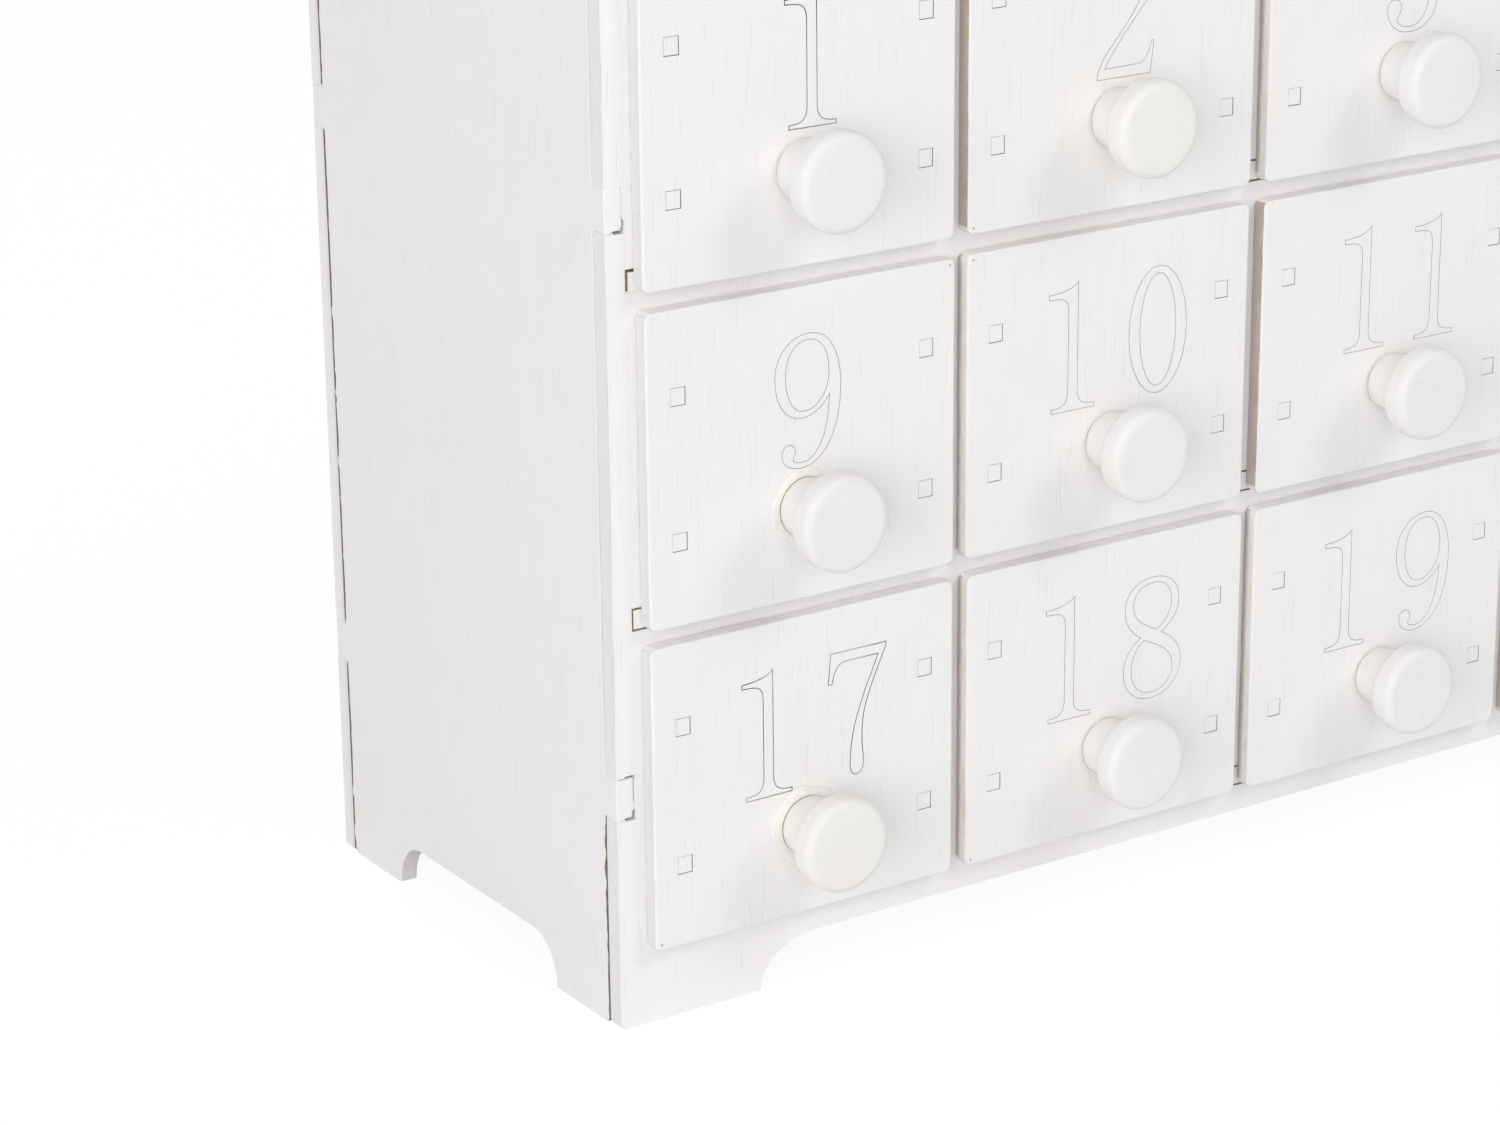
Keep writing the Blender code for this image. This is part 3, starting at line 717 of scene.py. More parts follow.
class CALENDAR_OT_case(bpy.types.Operator):
    """Dresses the face frame, the sides, the back and the top as painted sheets"""

    bl_idname = "calendar.case"
    bl_label = "Case sheets"

    def execute(self, context):
        sizes = context.scene.calendar_sizes
        colours = context.scene.calendar_colours
        upright = case_paint(colours)
        level = case_paint(colours, "top_white", ALONG_X)
        edge = cut_edge("case_cut_edge", shaded(colours.case_white, 0.94), colours.scorch, 0.86, 0.8)
        haze = tuple((a + b) / 2 for a, b in zip(colours.case_white, colours.stain))
        hazy = painted("hazy_paint", haze, colours.birch, 0.35, 0.2)
        # A dark colour for the open joints: soot on the sides' cut edges, and painted shade on the back's
        # inner face, where the gap leaves it dark.
        burnt = cut_edge("soot_and_shade_joint", (0.26, 0.22, 0.21), (0.10, 0.07, 0.06), 0.62)
        sheets = (
            ("face_frame", FACING_FRONT, upright),
            ("left_side_panel", FACING_SIDE, upright),
            ("right_side_panel", FACING_SIDE, upright),
            ("back_panel", FACING_FRONT, upright),
            ("top_panel", FACING_UP, level),
        )
        for node, facing, paint in sheets:
            build = merged_copy(node)
            in_plane = Vector((1, 1, 1)) - facing
            side = facing is FACING_SIDE
            split_long_edges(build, self.fine_step if side else self.coarse_step)
            waver(build, build.verts, sizes.unevenness, in_plane)
            if side:
                self.cut_across(build, (1, 0, 0), (-self.open_reach, self.open_reach))
                self.open_joints(build)
            elif node == "back_panel":
                self.cut_across(build, (0, 1, 0), (self.haze_reach,))
                self.cut_across(build, (1, 0, 0), (-self.soot_reach, self.soot_reach))
            mark_cut_edges(build, facing, painted_ends=True)
            if side or node == "back_panel":
                self.mark_joints(build, side)
            round_edges(build, sizes.edge_rounding)
            materials = [paint, edge, paint, hazy, burnt]
            make_piece(node + "_sheet", build, materials, "case", [node])
        return {"FINISHED"}

    hazy_place, burnt_place = 3, 4
    fine_step, coarse_step = 0.001, 0.006
    front_edge = FACE_Y + SHEET + JOINT_GAP
    rear_edge = BACK_Y - SHEET - JOINT_GAP
    haze_reach = BACK_Y - SHEET + 0.0008
    soot_reach = HALF_WIDTH - 0.0012
    open_reach = HALF_WIDTH - SHEET + OPEN_RUN
    close_by = 0.0002
    tab_margin = 0.001
    front_set_back, front_roughness = 0.0003, 0.0004
    rear_set_back, rear_roughness = 0.0001, 0.0002
    tab_set_back, inner_set_back = 0.0002, 0.00025

    def open_joints(self, build):
        """Sets a side's edges back where its joints to the frame and to the back stand open."""
        for vert in build.verts:
            rough = noise.noise(vert.co * JOINT_WAVES)
            margin = self.tab_margin
            at_tab = any(low - margin < vert.co.z < high + margin for low, high in SIDE_TABS)
            below_tabs = vert.co.z < SIDE_TABS[0][0] - margin
            if abs(vert.co.y - self.front_edge) < self.close_by and below_tabs:
                vert.co.y += self.front_set_back + self.front_roughness * rough
            elif abs(vert.co.y - self.rear_edge) < self.close_by and not at_tab:
                vert.co.y -= self.rear_set_back + self.rear_roughness * rough
            elif at_tab and vert.co.y < FACE_Y + JOINT_GAP:
                self.loosen_tab(vert)

    def loosen_tab(self, vert):
        """Takes a little off the corners of a tab end that face the middle of the case."""
        for index, (low, high) in enumerate(SIDE_TABS):
            at_foot = abs(vert.co.z - low) < self.close_by
            at_crown = abs(vert.co.z - high) < self.close_by
            inner = abs(abs(vert.co.x) - HALF_WIDTH + SHEET) < self.close_by / 2
            if inner and low - JOINT_GAP < vert.co.z < low + OPEN_RISE:
                vert.co.x += math.copysign(self.inner_set_back, vert.co.x)
            if abs(vert.co.x) < self.open_reach + JOINT_GAP:
                vert.co.z += self.tab_set_back * (at_foot - (at_crown and not index))

    def cut_across(self, build, normal, places):
        """Draws lines across a sheet's faces, square to an axis."""
        for place in places:
            geometry = build.verts[:] + build.edges[:] + build.faces[:]
            bmesh.ops.bisect_plane(
                build, geom=geometry, dist=0.000001, plane_co=Vector(normal) * place, plane_no=normal
            )

    def mark_joints(self, build, side):
        """Soot and painted shade where the open joints let them show, on the sides' front edges below the
        tabs and on the back's inner face beside its ends, and a beige haze beside it on the back's outer
        edges.
        """
        for face in build.faces:
            middle = face.calc_center_median()
            if side:
                at_front = face.normal.y < -0.5 and middle.y < self.front_edge + OPEN_RUN
                if at_front and middle.z < SIDE_TABS[0][0] and middle.y > self.front_edge - JOINT_GAP:
                    face.material_index = self.burnt_place
            # The back's inner face beside its ends gets painted shade, seen through the open joint.
            elif face.normal.y < -FACES_ALONG and abs(middle.x) > self.soot_reach:
                face.material_index = self.burnt_place
            elif abs(face.normal.x) > FACES_ALONG and abs(middle.x) > HALF_WIDTH - JOINT_GAP:
                face.material_index = self.hazy_place if middle.y < self.haze_reach else 0


class CALENDAR_OT_shelving(bpy.types.Operator):
    """Builds the bottom, the two shelves and the seven dividers that they cross in half-depth slots"""

    bl_idname = "calendar.shelving"
    bl_label = "Shelves and dividers"

    at_rear_tabs = (2, 4, 6)
    set_back = 0.0002

    def execute(self, context):
        sizes = context.scene.calendar_sizes
        colours = context.scene.calendar_colours
        level = bare_plywood("shelf_plywood", colours.birch, ALONG_X)
        upright = bare_plywood("divider_plywood", colours.birch)
        edge = cut_edge("plywood_cut_edge", colours.birch, colours.scorch, 0.45)
        paint = case_paint(colours)
        for node in ("lower_shelf", "upper_shelf", "top_panel"):
            build = merged_copy(node)
            name, replaced = node + "_sheet", [node]
            if node == "top_panel":
                drop = LOWEST_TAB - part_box(node)[0].z
                bmesh.ops.translate(build, verts=build.verts, vec=(0, 0, drop))
                for vert in build.verts:
                    vert.co.y = max(vert.co.y, FACE_Y + JOINT_GAP / 5)
                name, replaced = "bottom_sheet", ["bottom_with_dividers"]
            if node == "upper_shelf":
                self.loosen_end_tabs(build)
            mark_cut_edges(build, FACING_UP, painted_ends=True)
            round_edges(build, sizes.edge_rounding / 2)
            make_piece(name, build, [level, edge, paint], "case", replaced)
        inner_front = FACE_Y + SHEET + 2 * JOINT_GAP
        inner_back = BACK_Y - SHEET - 2 * JOINT_GAP
        slot_end = MIDDLE_Y + JOINT_GAP / 2
        tip = BACK_Y - JOINT_GAP / 4
        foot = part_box("bottom_with_dividers")[0].z + SHEET
        rear, rear_tabs = [(inner_front, foot), (inner_back, foot)], []
        front = [(inner_back, CROWN), (inner_front, CROWN)]
        lower_base, upper_base = (LOWEST_TAB + row * ROW_PITCH for row in (1, 2))
        for base in (lower_base, upper_base):
            rear_tabs += notch(inner_back, tip, base, base + SHEET)
        for base in (upper_base, lower_base):
            front += notch(inner_front, slot_end, base + SHEET + JOINT_GAP, base - JOINT_GAP)
        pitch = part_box("drawer_02_box")[0].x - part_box("drawer_01_box")[0].x
        for number in range(1, COLUMNS):
            build = bmesh.new()
            x = (number - COLUMNS / 2) * pitch
            outline = rear + (rear_tabs if number in self.at_rear_tabs else []) + front
            add_sheet(build, outline, SHEET, Matrix.Translation((x, 0, 0)) @ SIDEWAYS)
            bmesh.ops.recalc_face_normals(build, faces=build.faces)
            mark_cut_edges(build, FACING_SIDE, painted_ends=True)
            round_edges(build, sizes.edge_rounding / 2)
            name = f"divider_{number}_sheet"
            make_piece(name, build, [upright, edge, paint], "case", ["bottom_with_dividers"])
        return {"FINISHED"}

    def loosen_end_tabs(self, build):
        """Takes a little off the front ends of the outer tabs, whose slots show open lines."""
        crown = max(vert.co.z for vert in build.verts)
        for vert in build.verts:
            if vert.co.y < FACE_Y + JOINT_GAP and abs(vert.co.x) > END_TAB[0] - JOINT_GAP:
                if abs(vert.co.x) > END_TAB[1] - JOINT_GAP:
                    vert.co.x -= math.copysign(self.set_back, vert.co.x)
                if vert.co.z > crown - JOINT_GAP:
                    vert.co.z -= self.set_back


class CALENDAR_OT_paint_fills(bpy.types.Operator):
    """Fills parts of the joint lines round the outer tab ends with paint, and leaves the rest open"""

    bl_idname = "calendar.paint_fills"
    bl_label = "Paint in the joints"

    recess = 0.00008
    thin_line = 0.00012
    left_open_below, left_open_above = 0.0012, 0.0004
    inner = HALF_WIDTH - SHEET

    def execute(self, context):
        build = bmesh.new()
        recess = self.recess
        for front, rear in ((FACE_Y + recess, FACE_Y + SHEET), (BACK_Y - SHEET, BACK_Y - recess)):
            fills = self.at_side_tabs() + self.at_shelf_tabs(recess * 0.9 if front < 0 else 0)
            for side in (-1, 1):
                for x_low, x_high, z_low, z_high, cover in fills:
                    xs = sorted((side * x_low, side * x_high))
                    add_box(build, (xs[0], front - cover, z_low), (xs[1], rear, z_high))
        paint = case_paint(context.scene.calendar_colours)
        make_piece("joint_paint", build, [paint], "case")
        return {"FINISHED"}

    def at_side_tabs(self):
        """Fills round the side tabs, each from x to x and from z to z, with how far it covers the face."""
        fills = []
        near, open_end, far = self.inner - JOINT_GAP, self.inner + OPEN_RUN, HALF_WIDTH - self.recess
        for index, (low, high) in enumerate(SIDE_TABS):
            fills.append((open_end, far, low - JOINT_GAP, low, 0))
            if index:
                fills.append((near, far, high, high + JOINT_GAP, 0))
                fills.append((near, self.inner, low + OPEN_RISE, high, 0))
            else:
                fills.append((open_end, far, high, high + JOINT_GAP, 0))
                foot, crown = low + self.left_open_below, high - self.left_open_above
                fills.append((near, self.inner - self.thin_line, foot, crown, 0))
        return fills

    def at_shelf_tabs(self, cover):
        """Fills round the outer tabs of the shelves, and a cover over those of the bottom sheet."""
        near, far = END_TAB
        beside, beyond = near - JOINT_GAP, far + JOINT_GAP
        bottom, lower, upper = (LOWEST_TAB + row * ROW_PITCH for row in range(3))
        return [
            (beside, beyond, bottom - JOINT_GAP, bottom + SHEET + JOINT_GAP, cover),
            (beside, near, lower, lower + SHEET, 0),
            (beside, near, upper, upper + SHEET, 0),
            (near, beyond, upper - JOINT_GAP, upper, 0),
        ]


def contour_points(contour, steps=7):
    """The points of a digit's contour, in millimetres, with its curved stretches drawn in steps."""
    points = []
    for stretch in contour:
        ends = [Vector((*stretch[at : at + 2], 0)) for at in range(0, len(stretch), 2)]
        points += ends if len(ends) == 1 else interpolate_bezier(points[-1], *ends, steps + 1)[1:]
    if (points[0] - points[-1]).length < 0.001:
        points.pop()
    return points


def add_engraving(build, number, middle, foot, face_y, sizes, line_width):
    """Closed solids along the outline of a number, which cut its engraved lines."""
    digits = [DIGITS[int(character)] for character in str(number)]
    scale = 0.001
    gap = sizes.digit_gap / scale
    width = sum(wide for wide, _ in digits) + gap * (len(digits) - 1)
    left = middle - width * scale / 2
    above = 0.0002
    for wide, contours in digits:
        for contour in contours:
            points = contour_points(contour)
            places = [(left + point.x * scale, face_y - above, foot + point.y * scale) for point in points]
            verts = [build.verts.new(place) for place in places]
            face = build.faces.new(verts)
            face.normal_update()
            ring = bmesh.ops.inset_region(
                build, faces=[face], use_boundary=True, use_even_offset=True, thickness=line_width
            )["faces"]
            bmesh.ops.delete(build, geom=[face], context="FACES_ONLY")
            deep = bmesh.ops.extrude_face_region(build, geom=ring, use_keep_orig=True)["geom"]
            moved = [item for item in deep if isinstance(item, bmesh.types.BMVert)]
            bmesh.ops.translate(build, verts=moved, vec=(0, above + sizes.line_depth, 0))
        left += (wide + gap) * scale


def front_sheet(low, high, column, sizes):
    """A drawer front with round corners and softened, slightly uneven edges.

    Soot and painted shade stay on the sides that face another column, down to the lower corners. Faces
    toward the front or up take the face paint, partly where the spray reached and partly as painted light
    that keeps the top edges as bright as the fronts; the rest take the duller cut-edge paint.
    """
    clean_rise = 0.0022
    long_edge, side_cuts = 0.01, 14
    build = bmesh.new()
    middle = (low + high) / 2
    size = Matrix.Diagonal(((high.x - low.x) / 2, (high.z - low.z) / 2, 1, 1))
    place = Matrix.Translation((middle.x, low.y, middle.z)) @ STANDING @ size
    corners = bmesh.ops.create_grid(build, x_segments=1, y_segments=1, size=1, matrix=place)["verts"]
    bmesh.ops.bevel(
        build,
        geom=corners,
        offset=sizes.front_corner,
        segments=4,
        profile=0.5,
        affect="VERTICES",
        material=-1,
    )
    long_edges = [edge for edge in build.edges if edge.calc_length() > long_edge]
    bmesh.ops.subdivide_edges(build, edges=long_edges, cuts=side_cuts)
    waver(build, build.verts, sizes.unevenness, (1, 0, 1))
    deep = bmesh.ops.extrude_face_region(build, geom=build.faces[:], use_keep_orig=True)["geom"]
    moved = [item for item in deep if isinstance(item, bmesh.types.BMVert)]
    bmesh.ops.translate(build, verts=moved, vec=(0, FRONT_SHEET, 0))
    bmesh.ops.recalc_face_normals(build, faces=build.faces)
    round_edges(build, sizes.front_rounding, 60)
    build.normal_update()
    for face in build.faces:
        outward = face.normal.x * (1 if column else -1)
        # Faces toward the front or up get the face paint: where the spray reached, and painted light that
        # brightens the top edges.
        sprayed_and_painted_light = face.normal.y < -0.3 or face.normal.z > FACES_ALONG
        above_corner = face.calc_center_median().z > low.z + clean_rise
        flank = abs(face.normal.x) > FACES_ALONG and above_corner
        inner_flank = flank and not (column in (0, COLUMNS - 1) and outward > 0)
        face.material_index = 3 if inner_flank and not sprayed_and_painted_light else int(not sprayed_and_painted_light)
    return build


def tab_places(low, high):
    """The middle of each tab end in a drawer front."""
    middle = (low.x + high.x) / 2
    reach = TRAY_WIDTH / 2 - DRAWER_SHEET / 2
    return [(middle + side * reach, low.z + rise) for side in (-1, 1) for rise in TAB_RISES]


class CALENDAR_OT_fronts(bpy.types.Operator):
    """Builds the 24 drawer fronts with their tab holes and engraved numbers"""

    bl_idname = "calendar.fronts"
    bl_label = "Drawer fronts"

    fewest_faces = 100
    dark_numbers = (1, 17)
    dark_line_share = 1.7
    burnt_corners = {2: (-1, -1), 9: (1, 1), 10: (-1, 1), 17: (-1, -1)}
    brown_rim = ((0.50, 0.38, 0.29), (0.62, 0.52, 0.43))
    painted_rim = ((0.83, 0.79, 0.74), (0.87, 0.855, 0.845))

    def execute(self, context):
        sizes = context.scene.calendar_sizes
        colours = context.scene.calendar_colours
        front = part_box("drawer_01_box")[0].y
        paint = front_paint(colours)
        edge = cut_edge("front_cut_edge", shaded(colours.front_white, 0.86), colours.scorch, 0.9)
        pale_line = engraved_line("number_line", colours.front_white, (0.34, 0.33, 0.32))
        dark_line = engraved_line("dark_number_line", colours.front_white, (0.06, 0.055, 0.055))
        # Flanks between columns: soot and painted gap shade behind a brown rim, or only toward the rear
        # behind a painted rim.
        soot_and_shade = sooty_edge("sooty_edge", front, front + 0.002, self.brown_rim)
        narrow = sooty_edge("narrow_soot_and_shade_edge", front + 0.0013, front + 0.0023, self.painted_rim)
        plain = []
        for number in range(1, DRAWERS + 1):
            name = drawer_name(number)
            low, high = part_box(name + "_box")
            line = dark_line if number in self.dark_numbers else pale_line
            materials = [paint, edge, line, soot_and_shade if number % 3 == 2 else narrow]
            sheet = front_sheet(low, high, (number - 1) % COLUMNS, sizes)
            cuts = self.cuts(number, low, high, sizes)
            plate = add_object(name + "_plate", mesh_from(name + "_plate", sheet, materials))
            cutter = add_object(name + "_cuts", mesh_from(name + "_cuts", cuts, materials))
            modifier = plate.modifiers.new("cuts", "BOOLEAN")
            modifier.operation = "DIFFERENCE"
            modifier.object = cutter
            modifier.solver = "EXACT"
            plain.append((number, plate, cutter))
        graph = context.evaluated_depsgraph_get()
        carved = [bpy.data.meshes.new_from_object(plate.evaluated_get(graph)) for _, plate, _ in plain]
        for (number, plate, cutter), mesh in zip(plain, carved):
            bpy.data.objects.remove(plate, do_unlink=True)
            bpy.data.objects.remove(cutter, do_unlink=True)
            name = drawer_name(number)
            if len(mesh.polygons) < self.fewest_faces:
                raise RuntimeError(name + " has no engraving")
            mesh.name = name + "_front"
            mesh.transform(drift(number))
            place_piece(name + "_front", mesh, name, [name + "_box"])
        return {"FINISHED"}

    def cuts(self, number, low, high, sizes):
        """Closed solids that cut the number, the tab holes and one burnt corner into a front."""
        build = bmesh.new()
        offset = sizes.number_offset if number != 9 else sizes.number_offset / 3
        middle = (low.x + high.x) / 2 + offset
        line_width = sizes.line_width * (self.dark_line_share if number in self.dark_numbers else 1)
        add_engraving(build, number, middle, low.z + sizes.number_rise, low.y, sizes, line_width)
        across, up = self.burnt_corners.get(number, ((number % 3) - 1, (number % 2) * 2 - 1))
        if across:
            inset = sizes.front_corner * 0.8
            x = high.x - inset if across > 0 else low.x + inset
            z = high.z - inset if up > 0 else low.z + inset
            bmesh.ops.create_cone(
                build,
                cap_ends=True,
                segments=9,
                radius1=0.00015,
                radius2=0.00018,
                depth=0.0003,
                matrix=Matrix.Translation((x, low.y, z)) @ STANDING,
            )
        gap = sizes.tab_gap
        for x, z in tab_places(low, high):
            half_x = DRAWER_SHEET / 2 + gap
            half_z = TAB_HEIGHT / 2 + gap
            shift = noise.noise_vector(Vector((x, 0, z)) * 900) * gap * 0.8
            left, foot = x - half_x + shift.x, z - half_z + shift.z
            far_corner = (left + 2 * half_x, low.y + 2 * DRAWER_SHEET, foot + 2 * half_z)
            add_box(build, (left, low.y - 0.001, foot), far_corner)
        for face in build.faces:
            face.material_index = 2
        bmesh.ops.recalc_face_normals(build, faces=build.faces)
        return build


def comb(start, end, spans, depth):
    """Points of a straight edge with fingers cut out of it, each span given as shares of its length."""
    start, end = Vector(start), Vector(end)
    along = end - start
    inward = Vector((-along.y, along.x)).normalized() * depth
    points = [start]
    for low, high in spans:
        points += [start + along * low, start + along * low + inward]
        points += [start + along * high + inward, start + along * high]
    return points


class CALENDAR_OT_trays(bpy.types.Operator):
    """Builds the trays behind the fronts: two sides with tabs, a back and a bottom, in finger joints"""

    bl_idname = "calendar.trays"
    bl_label = "Drawer trays"

    def execute(self, context):
        sizes = context.scene.calendar_sizes
        colours = context.scene.calendar_colours
        face = bare_plywood("tray_plywood", colours.birch)
        edge = cut_edge("tray_cut_edge", colours.birch, colours.scorch, 0.42)
        paint = front_paint(colours)
        for number in range(1, DRAWERS + 1):
            name = drawer_name(number)
            low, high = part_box(name + "_box")
            build = self.tray(low, high)
            build.normal_update()
            self.mark(build, low)
            round_edges(build, sizes.edge_rounding / 2)
            bmesh.ops.transform(build, matrix=drift(number), verts=build.verts)
            make_piece(name + "_tray", build, [face, edge, paint], name, [name + "_box"])
        return {"FINISHED"}

    def tray(self, low, high):
        """The four loose sheets of a tray. Its fingers lie at shares of the depth and of the height."""
        build = bmesh.new()
        middle = (low.x + high.x) / 2
        sheet = DRAWER_SHEET
        half = TRAY_WIDTH / 2
        slack = 0.00005
        tip = low.y + 0.00004
        front, back = low.y + FRONT_SHEET + slack, high.y
        base, crown = low.z + TRAY_RISE, low.z + TRAY_RISE + TRAY_HEIGHT
        fingers, back_finger = ((0.12, 0.3), (0.68, 0.86)), (0.3, 0.7)
        side = comb((front, base), (back, base), fingers, sheet + slack)
        side += comb((back, base), (back, crown), (back_finger,), sheet + slack)
        side += [(back, crown), (front, crown)]
        for rise in reversed(TAB_RISES):
            side += notch(front, tip, low.z + rise + TAB_HEIGHT / 2, low.z + rise - TAB_HEIGHT / 2)
        for direction in (-1, 1):
            x = middle + direction * (half - sheet / 2)
            add_sheet(build, side, sheet, Matrix.Translation((x, 0, 0)) @ SIDEWAYS)
        inner = half - sheet - slack
        low_share, high_share = back_finger
        rise = crown - base
        finger = notch(inner, half, base + low_share * rise + slack, base + high_share * rise - slack)
        rear = mirrored([(inner, base + sheet + slack), *finger, (inner, crown)])
        add_sheet(build, rear, sheet, Matrix.Translation((middle, back - sheet / 2, 0)) @ STANDING)
        right = [(inner, front)]
        for low_share, high_share in fingers:
            start, end = (front + share * (back - front) for share in (low_share, high_share))
            right += notch(inner, half, start + slack, end - slack)
        right.append((inner, back))
        add_sheet(build, mirrored(right), sheet, Matrix.Translation((middle, 0, base + sheet / 2)))
        bmesh.ops.recalc_face_normals(build, faces=build.faces)
        return build

    def mark(self, build, low):
        """Narrow faces are cut edges, and the tab ends in the front are painted."""
        for face in build.faces:
            reaches = zip(*(vert.co for vert in face.verts))
            spans = [max(reach) - min(reach) for reach in reaches]
            narrow = sorted(spans)[1] < DRAWER_SHEET * 1.3
            face.material_index = int(narrow)
            if face.calc_center_median().y < low.y + DRAWER_SHEET / 4:
                face.material_index = 2


def arc(centre, run, rise, start, steps):
    """Points of a quarter turn round a centre, from an angle."""
    angles = [start + math.pi / 2 * step / steps for step in range(steps + 1)]
    return [(centre[0] + run * math.cos(a), centre[1] + rise * math.sin(a)) for a in angles]


def spun(build, profile, centre, steps):
    """Turns a profile of radius and height round an axis that points to the front."""
    verts = [build.verts.new((centre.x + radius, centre.y - height, centre.z)) for radius, height in profile]
    edges = [build.edges.new(pair) for pair in zip(verts, verts[1:])]
    bmesh.ops.spin(
        build,
        geom=verts + edges,
        cent=centre,
        axis=(0, 1, 0),
        angle=2 * math.pi,
        steps=steps,
        use_merge=True,
    )
    bmesh.ops.remove_doubles(build, verts=build.verts, dist=0.000005)
    bmesh.ops.recalc_face_normals(build, faces=build.faces)
    for face in build.faces:
        face.smooth = True


class CALENDAR_OT_knobs(bpy.types.Operator):
    """Turns the 24 painted knobs"""

    bl_idname = "calendar.knobs"
    bl_label = "Knobs"

    cream = (2, 5, 12, 14, 17, 23)

    def execute(self, context):
        sizes = context.scene.calendar_sizes
        colours = context.scene.calendar_colours
        foot_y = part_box("drawer_01_knob")[1].y
        white = knob_paint("knob_white", colours.knob_white, colours.stain, foot_y)
        cream = knob_paint("knob_cream", colours.knob_cream, colours.stain, foot_y)
        for number in range(1, DRAWERS + 1):
            name = drawer_name(number)
            low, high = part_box(name + "_knob")
            centre = Vector(((low.x + high.x) / 2, high.y, (low.z + high.z) / 2))
            build = bmesh.new()
            spun(build, self.profile(high.y - low.y, (high.z - low.z) / 2), centre, sizes.knob_segments)
            bmesh.ops.transform(build, matrix=drift(number), verts=build.verts)
            paint = cream if number in self.cream else white
            make_piece(name + "_turned_knob", build, [paint], name, [name + "_knob"])
        return {"FINISHED"}

    def profile(self, height, radius):
        """Radius and height from the middle of the face to the foot."""
        rim, back = 0.0014, 0.0014
        under_head = height - 0.0046
        neck, foot = 0.0046, 0.0047
        face = [(0, height), (radius - rim - 0.0012, height)]
        front = list(reversed(arc((radius - rim, height - rim), rim, rim, 0, 7)))
        rear = list(reversed(arc((radius - back, under_head + back), back, back, 3 * math.pi / 2, 6)))
        handles = ((radius - back - 0.0012, under_head - 0.0001), (neck + 0.0003, 0.0026))
        bends = [Vector((*point, 0)) for point in ((radius - back, under_head), *handles, (neck, 0.0009))]
        flare = [tuple(point.to_2d()) for point in interpolate_bezier(*bends, 9)]
        return face + front + rear + flare[1:] + [(foot, 0.0002), (foot - 0.0001, 0), (0, 0)]


class CALENDAR_OT_glue(bpy.types.Operator):
    """Lays an uneven ring of dried glue round the foot of each knob"""

    bl_idname = "calendar.glue"
    bl_label = "Glue rings"

    generous = (4, 9, 13, 17, 22)

    def execute(self, context):
        colours = context.scene.calendar_colours
        glue = dried_glue("dried_glue", colours.glue)
        amber = dried_glue("amber_glue", colours.amber)
        for number in range(1, DRAWERS + 1):
            name = drawer_name(number)
            low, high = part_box(name + "_knob")
            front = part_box(name + "_box")[0].y
            centre = Vector(((low.x + high.x) / 2, front, (low.z + high.z) / 2))
            inner, foot, rise = 0.0025, 0.0047, 0.00026
            if number in self.generous:
                outer, wide = 0.0062, 0.0009
                profile = [(inner, 0), (inner, rise), (foot + 0.00002, rise)]
            else:
                outer, wide = 0.0035, 0.0004
                profile = [(inner, 0), (inner, rise)]
            profile += [*reversed(arc((outer - wide, 0), wide, rise, 0, 4))]
            profile.append((inner, 0))
            build = bmesh.new()
            spun(build, profile, centre, 40)
            for face in build.faces:
                middle = face.calc_center_median()
                face.material_index = int(math.hypot(middle.x - centre.x, middle.z - centre.z) < foot)
            for vert in build.verts:
                away = Vector((vert.co.x - centre.x, 0, vert.co.z - centre.z))
                if away.length > foot:
                    swell = noise.noise(Vector((away.x * EDGE_WAVES, number * 3.7, away.z * EDGE_WAVES)))
                    vert.co += away.normalized() * swell * (away.length - foot) * 0.7
            bmesh.ops.transform(build, matrix=drift(number), verts=build.verts)
            make_piece(name + "_glue_ring", build, [glue, amber], name)
        return {"FINISHED"}


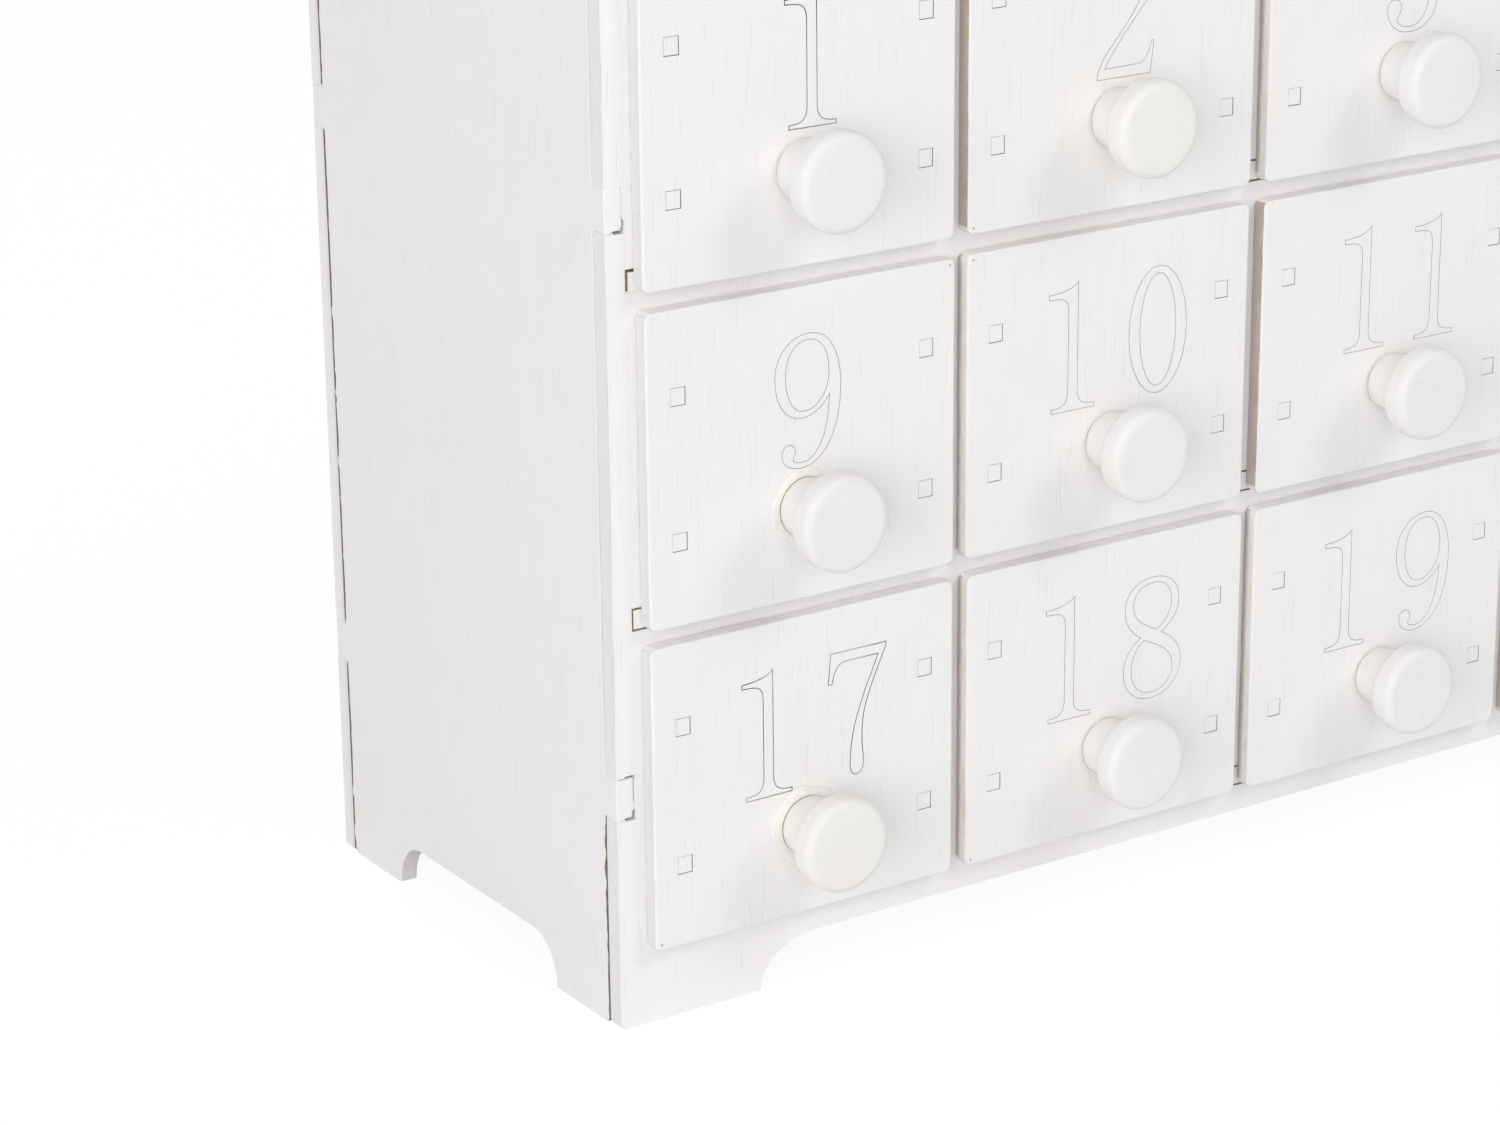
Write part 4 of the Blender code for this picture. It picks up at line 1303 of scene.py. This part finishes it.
class CALENDAR_OT_stage(bpy.types.Operator):
    """Sets the floor, the lamps, the world and the camera"""

    bl_idname = "calendar.stage"
    bl_label = "Stage"

    def execute(self, context):
        scene = context.scene
        self.floor()
        self.world(scene)
        self.lamp("main_lamp", (1.0, -1.5, 1.6), 1.0, 11.5)
        self.lamp("front_lamp", (-1.1, -1.7, 0.6), 1.1, 8.3)
        self.lamp("fill_lamp", (-1.9, -1.0, 0.5), 1.4, 16.2)
        self.camera(scene)
        scene.view_settings.view_transform = "Standard"
        return {"FINISHED"}

    def brighten(self, tree, plain, bright, share, end):
        """Mixes a bright shader into what the camera sees, also in a gloss or through glass."""
        path = tree.nodes.new("ShaderNodeLightPath").outputs
        seen = math_node(tree, "MAXIMUM", path["Is Camera Ray"], path["Is Glossy Ray"])
        seen = math_node(tree, "MAXIMUM", seen, path["Is Transmission Ray"])
        mixed = add_node(tree, "ShaderNodeMixShader", Fac=times(tree, seen, share))
        tree.links.new(plain.outputs[0], mixed.inputs[1])
        tree.links.new(bright.outputs[0], mixed.inputs[2])
        tree.links.new(mixed.outputs[0], tree.nodes[end].inputs["Surface"])

    def floor(self):
        build = bmesh.new()
        bmesh.ops.create_grid(build, x_segments=1, y_segments=1, size=6)
        material = bpy.data.materials.new("pale_floor")
        material.use_nodes = True
        tree = material.node_tree
        shader = tree.nodes["Principled BSDF"]
        feed_all(tree, shader.inputs, Base_Color=(0.9, 0.9, 0.9), Roughness=0.9, Specular_IOR_Level=0)
        glow = add_node(tree, "ShaderNodeEmission", Color=(1, 1, 1), Strength=1.05)
        self.brighten(tree, shader, glow, 0.9, "Material Output")
        add_object("floor", mesh_from("floor", build, [material]))

    def world(self, scene):
        scene.world = bpy.data.worlds.new("studio")
        scene.world.use_nodes = True
        tree = scene.world.node_tree
        soft = tree.nodes["Background"]
        feed_all(tree, soft.inputs, Color=(0.98, 0.99, 1), Strength=0.43)
        bright = add_node(tree, "ShaderNodeBackground", Color=(1, 1, 1), Strength=1.0)
        self.brighten(tree, soft, bright, 1, "World Output")

    aim = Vector((0, 0, 0.08))

    def lamp(self, name, place, size, power):
        """A round lamp that points at the middle of the case."""
        data = bpy.data.lights.new(name, "AREA")
        data.shape = "DISK"
        data.size = size
        data.energy = power
        lamp = add_object(name, data)
        lamp.location = place
        lamp.rotation_euler = (self.aim - Vector(place)).to_track_quat("-Z", "Y").to_euler()

    def camera(self, scene):
        data = bpy.data.cameras.new("camera")
        data.sensor_width = 36
        data.lens = 97.96
        scene.camera = add_object("camera", data)
        turn = Matrix.Rotation(math.radians(-33.39), 4, "Z")
        tip = Matrix.Rotation(math.radians(90 - 18.90), 4, "X")
        roll = Matrix.Rotation(math.radians(-0.59), 4, "Z")
        scene.camera.matrix_world = Matrix.Translation((-0.5279, -0.5179, 0.2676)) @ turn @ tip @ roll


class CALENDAR_PT_panel(bpy.types.Panel):
    """Lists the calendar's pieces and their sizes and colours"""

    bl_idname = "CALENDAR_PT_panel"
    bl_label = "Advent calendar"
    bl_space_type = "VIEW_3D"
    bl_region_type = "UI"
    bl_category = "Calendar"

    def draw(self, context):
        layout = self.layout
        for operator in PIECE_OPERATORS:
            layout.operator(operator.bl_idname)
        for group in (context.scene.calendar_sizes, context.scene.calendar_colours):
            box = layout.box()
            for name in type(group).__annotations__:
                box.prop(group, name)


PIECE_OPERATORS = (
    CALENDAR_OT_case,
    CALENDAR_OT_shelving,
    CALENDAR_OT_paint_fills,
    CALENDAR_OT_fronts,
    CALENDAR_OT_trays,
    CALENDAR_OT_knobs,
    CALENDAR_OT_glue,
    CALENDAR_OT_stage,
)
CLASSES = (CalendarSizes, CalendarColours, *PIECE_OPERATORS, CALENDAR_PT_panel)


def register():
    for cls in CLASSES:
        bpy.utils.register_class(cls)
    bpy.types.Scene.calendar_sizes = PointerProperty(type=CalendarSizes)
    bpy.types.Scene.calendar_colours = PointerProperty(type=CalendarColours)


def unregister():
    del bpy.types.Scene.calendar_sizes
    del bpy.types.Scene.calendar_colours
    for cls in reversed(CLASSES):
        bpy.utils.unregister_class(cls)


def main():
    register()
    bpy.ops.calendar.case()
    bpy.ops.calendar.shelving()
    bpy.ops.calendar.paint_fills()
    bpy.ops.calendar.fronts()
    bpy.ops.calendar.trays()
    bpy.ops.calendar.knobs()
    bpy.ops.calendar.glue()
    bpy.ops.calendar.stage()


if __name__ == "__main__":
    main()
